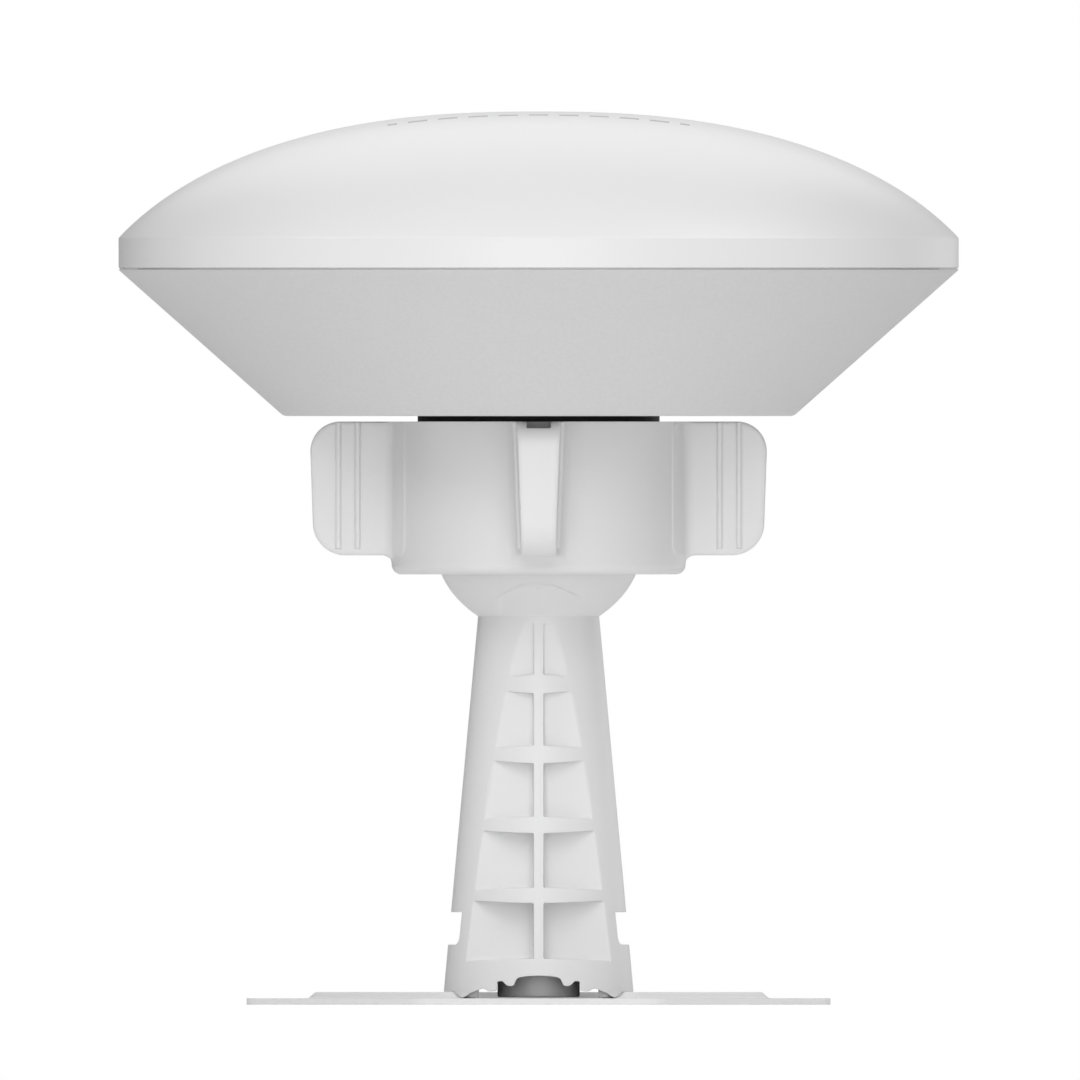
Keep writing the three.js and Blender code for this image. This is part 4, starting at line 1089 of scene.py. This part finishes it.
def network_field(x, y, z):
    """A modular jack: body, nose, opening with its latch's slot, and eight contacts."""
    low, high = box("network_socket")
    middle = (low[0] + high[0]) / 2
    u, w = x - middle, z - low[2]
    back = high[1] - 2.2
    body = soften_max(box_field(u, y, w, (-8, low[1], 0), (8, back, 13)), np.abs(u) - 8, 0.2)
    nose = box_field(u, y, w, (-7, back - 1, 1.6), (7, high[1], 11.6))
    jack = box_field(u, y, w, (-6, low[1] + 3, 2.8), (6, high[1] + 3, 10))
    latch = box_field(u, y, w, (-3, low[1] + 6, 1.9), (3, high[1] + 3, 3.5))
    body = cut(join(body, nose, 0.1), np.minimum(jack, latch), 0.15)
    row = np.clip(np.round(u / CONTACT_PITCH - 0.5), CONTACT_FIRST, CONTACT_LAST)
    nearest = u - CONTACT_PITCH * (row + 0.5)
    contact = np.maximum(np.abs(nearest) - 0.3, np.abs(w - 8.9 - (y - high[1] + 8) * 0.12) - 0.3)
    contact = np.maximum(contact, np.maximum(low[1] + 2 - y, y - high[1] + 3))
    return np.minimum(body, contact)


def service_field(x, y, z):
    """A round socket with six pins and a key."""
    low, high = box("service_socket")
    middle = (low + high) / 2
    r = np.hypot(x - middle[0], z - middle[2])
    back = high[1] - 2.2
    body = np.maximum(r - 5.2, np.maximum(low[1] - y, y - back))
    nose = np.maximum(r - 4.4, np.maximum(back - 1 - y, y - high[1]))
    body = cut(join(body, nose, 0.1), np.maximum(r - 3.3, low[1] + 4 - y), 0.2)
    u, v = around(x - middle[0], z - middle[2], 6, 15)
    pins = np.maximum(np.hypot(u - 1.9, v) - 0.4, y - high[1] + 3.5)
    key = np.maximum(np.abs(x - middle[0]) - 0.5, np.abs(z - middle[2] - 3.2) - 0.5)
    key = np.maximum(key, y - high[1] + 1)
    return np.minimum(body, np.maximum(np.minimum(pins, key), low[1] + 3 - y))


def make_button():
    """The reset button: a flange behind and a rounded cap."""
    low, high = box("reset_button")
    middle = (low + high) / 2
    length = high[1] - low[1]
    profile = [(0, 0), (3.0, 0), (3.1, 0.1), (3.1, 1.1), (3.0, 1.2), (2.2, 1.2)]
    profile += [(2.2, length - 0.35)] + arc((1.85, length - 0.35), 0.35, 0, 90, 4)
    profile += [(1.2, length - 0.15), (0, length - 0.3)]
    shape = moved(turned(profile, 48), (middle[0], low[1], middle[2]), ALONG_Y)
    piece("reset_button", mesh_from("reset_button", *shape))


# ---- build ---------------------------------------------------

sculpted("base_plate", plate_field, 0.8)
sculpted("thread_boss", boss_field, 0.3)
sculpted("mount_arm", arm_field, 0.56, reach=3.0)
make_ring()
sculpted("ball_collar", collar_field, 0.55)
sculpted("lower_housing", housing_field, 0.85)
sculpted("port_cover", cover_field, 0.4)
sculpted("network_socket", network_field, 0.25)
sculpted("service_socket", service_field, 0.25)
make_radome()
make_screws()
make_arm_screws()
make_light_pipes()
make_vent()
make_gasket()
make_cover_pin()
make_ball_seats()
make_button()

for node, obj in frame["nodes"].items():
    obj.data.materials.clear()
    obj.data.materials.append(LOOKS[SLOTS[node]])


# ---- floor, light and camera ---------------------------------

def make_floor():
    points, faces = turned([(0, 0), (600, 0)], 96)
    mesh = mesh_from("floor", points - (0, 0, 0.02), faces)
    floor = bpy.data.objects.new("floor", mesh)
    bpy.context.scene.collection.objects.link(floor)
    n = Nodes("floor_paper")
    n.join(n.mix(n.noise(9.0, 3.0), tint(0.88), tint(0.92)), n.shader.inputs["Base Color"])
    n.shader.inputs["Roughness"].default_value = 0.9
    n.shader.inputs["Specular IOR Level"].default_value = 0.1
    n.shader.inputs["Emission Color"].default_value = tint(1.0)
    n.shader.inputs["Emission Strength"].default_value = 0.15
    mesh.materials.append(n.material)


def area_light(name, where, size, power, target=(0, 0, 0.12)):
    data = bpy.data.lights.new(name, "AREA")
    data.shape = "RECTANGLE"
    data.size, data.size_y = size
    data.energy = power
    light = bpy.data.objects.new(name, data)
    light.location = where
    light.rotation_euler = (Vector(target) - Vector(where)).to_track_quat("-Z", "Y").to_euler()
    light.visible_camera = False
    bpy.context.scene.collection.objects.link(light)


def make_world(power):
    """White for the camera, and an even soft light for everything else."""
    world = bpy.data.worlds.new("studio")
    bpy.context.scene.world = world
    world.use_nodes = True
    tree = world.node_tree
    tree.nodes.clear()
    output = tree.nodes.new("ShaderNodeOutputWorld")
    lit = tree.nodes.new("ShaderNodeBackground")
    lit.inputs[1].default_value = power
    seen = tree.nodes.new("ShaderNodeBackground")
    seen.inputs[0].default_value = tint(1.0)
    lit.inputs[0].default_value = tint(1.0)
    path = tree.nodes.new("ShaderNodeLightPath")
    both = tree.nodes.new("ShaderNodeMixShader")
    tree.links.new(path.outputs["Is Camera Ray"], both.inputs[0])
    tree.links.new(lit.outputs[0], both.inputs[1])
    tree.links.new(seen.outputs[0], both.inputs[2])
    tree.links.new(both.outputs[0], output.inputs[0])


FRAME_WIDTH, FRAME_X, FRAME_Z = 257.1, 0.325, 110.6


def make_camera():
    """Looks level from the front, without perspective."""
    data = bpy.data.cameras.new("camera")
    data.type = "ORTHO"
    data.ortho_scale = FRAME_WIDTH * MM
    camera = bpy.data.objects.new("camera", data)
    camera.location = (FRAME_X * MM, -2.0, FRAME_Z * MM)
    camera.rotation_euler = (math.pi / 2, 0, 0)
    bpy.context.scene.collection.objects.link(camera)
    bpy.context.scene.camera = camera


LIGHTS = {
    "front": ((0, -2.0, 0.25), 10.8),
    "front_high": ((0, -1.5, 1.3), 13.6),
    "above_left": ((-1.4, -0.4, 1.5), 9.2),
    "above_right": ((1.2, -0.1, 1.8), 10.5),
    "back_right": ((1.2, 1.6, 0.3), 5.0),
    "back_above": ((0, 1.5, 1.2), 5.6),
}

make_floor()
make_world(0.175)
make_camera()
for name, (where, power) in LIGHTS.items():
    area_light(name, where, (1.2, 1.2), power)
bpy.context.scene.view_settings.view_transform = "Standard"
bpy.context.scene.view_settings.look = "None"
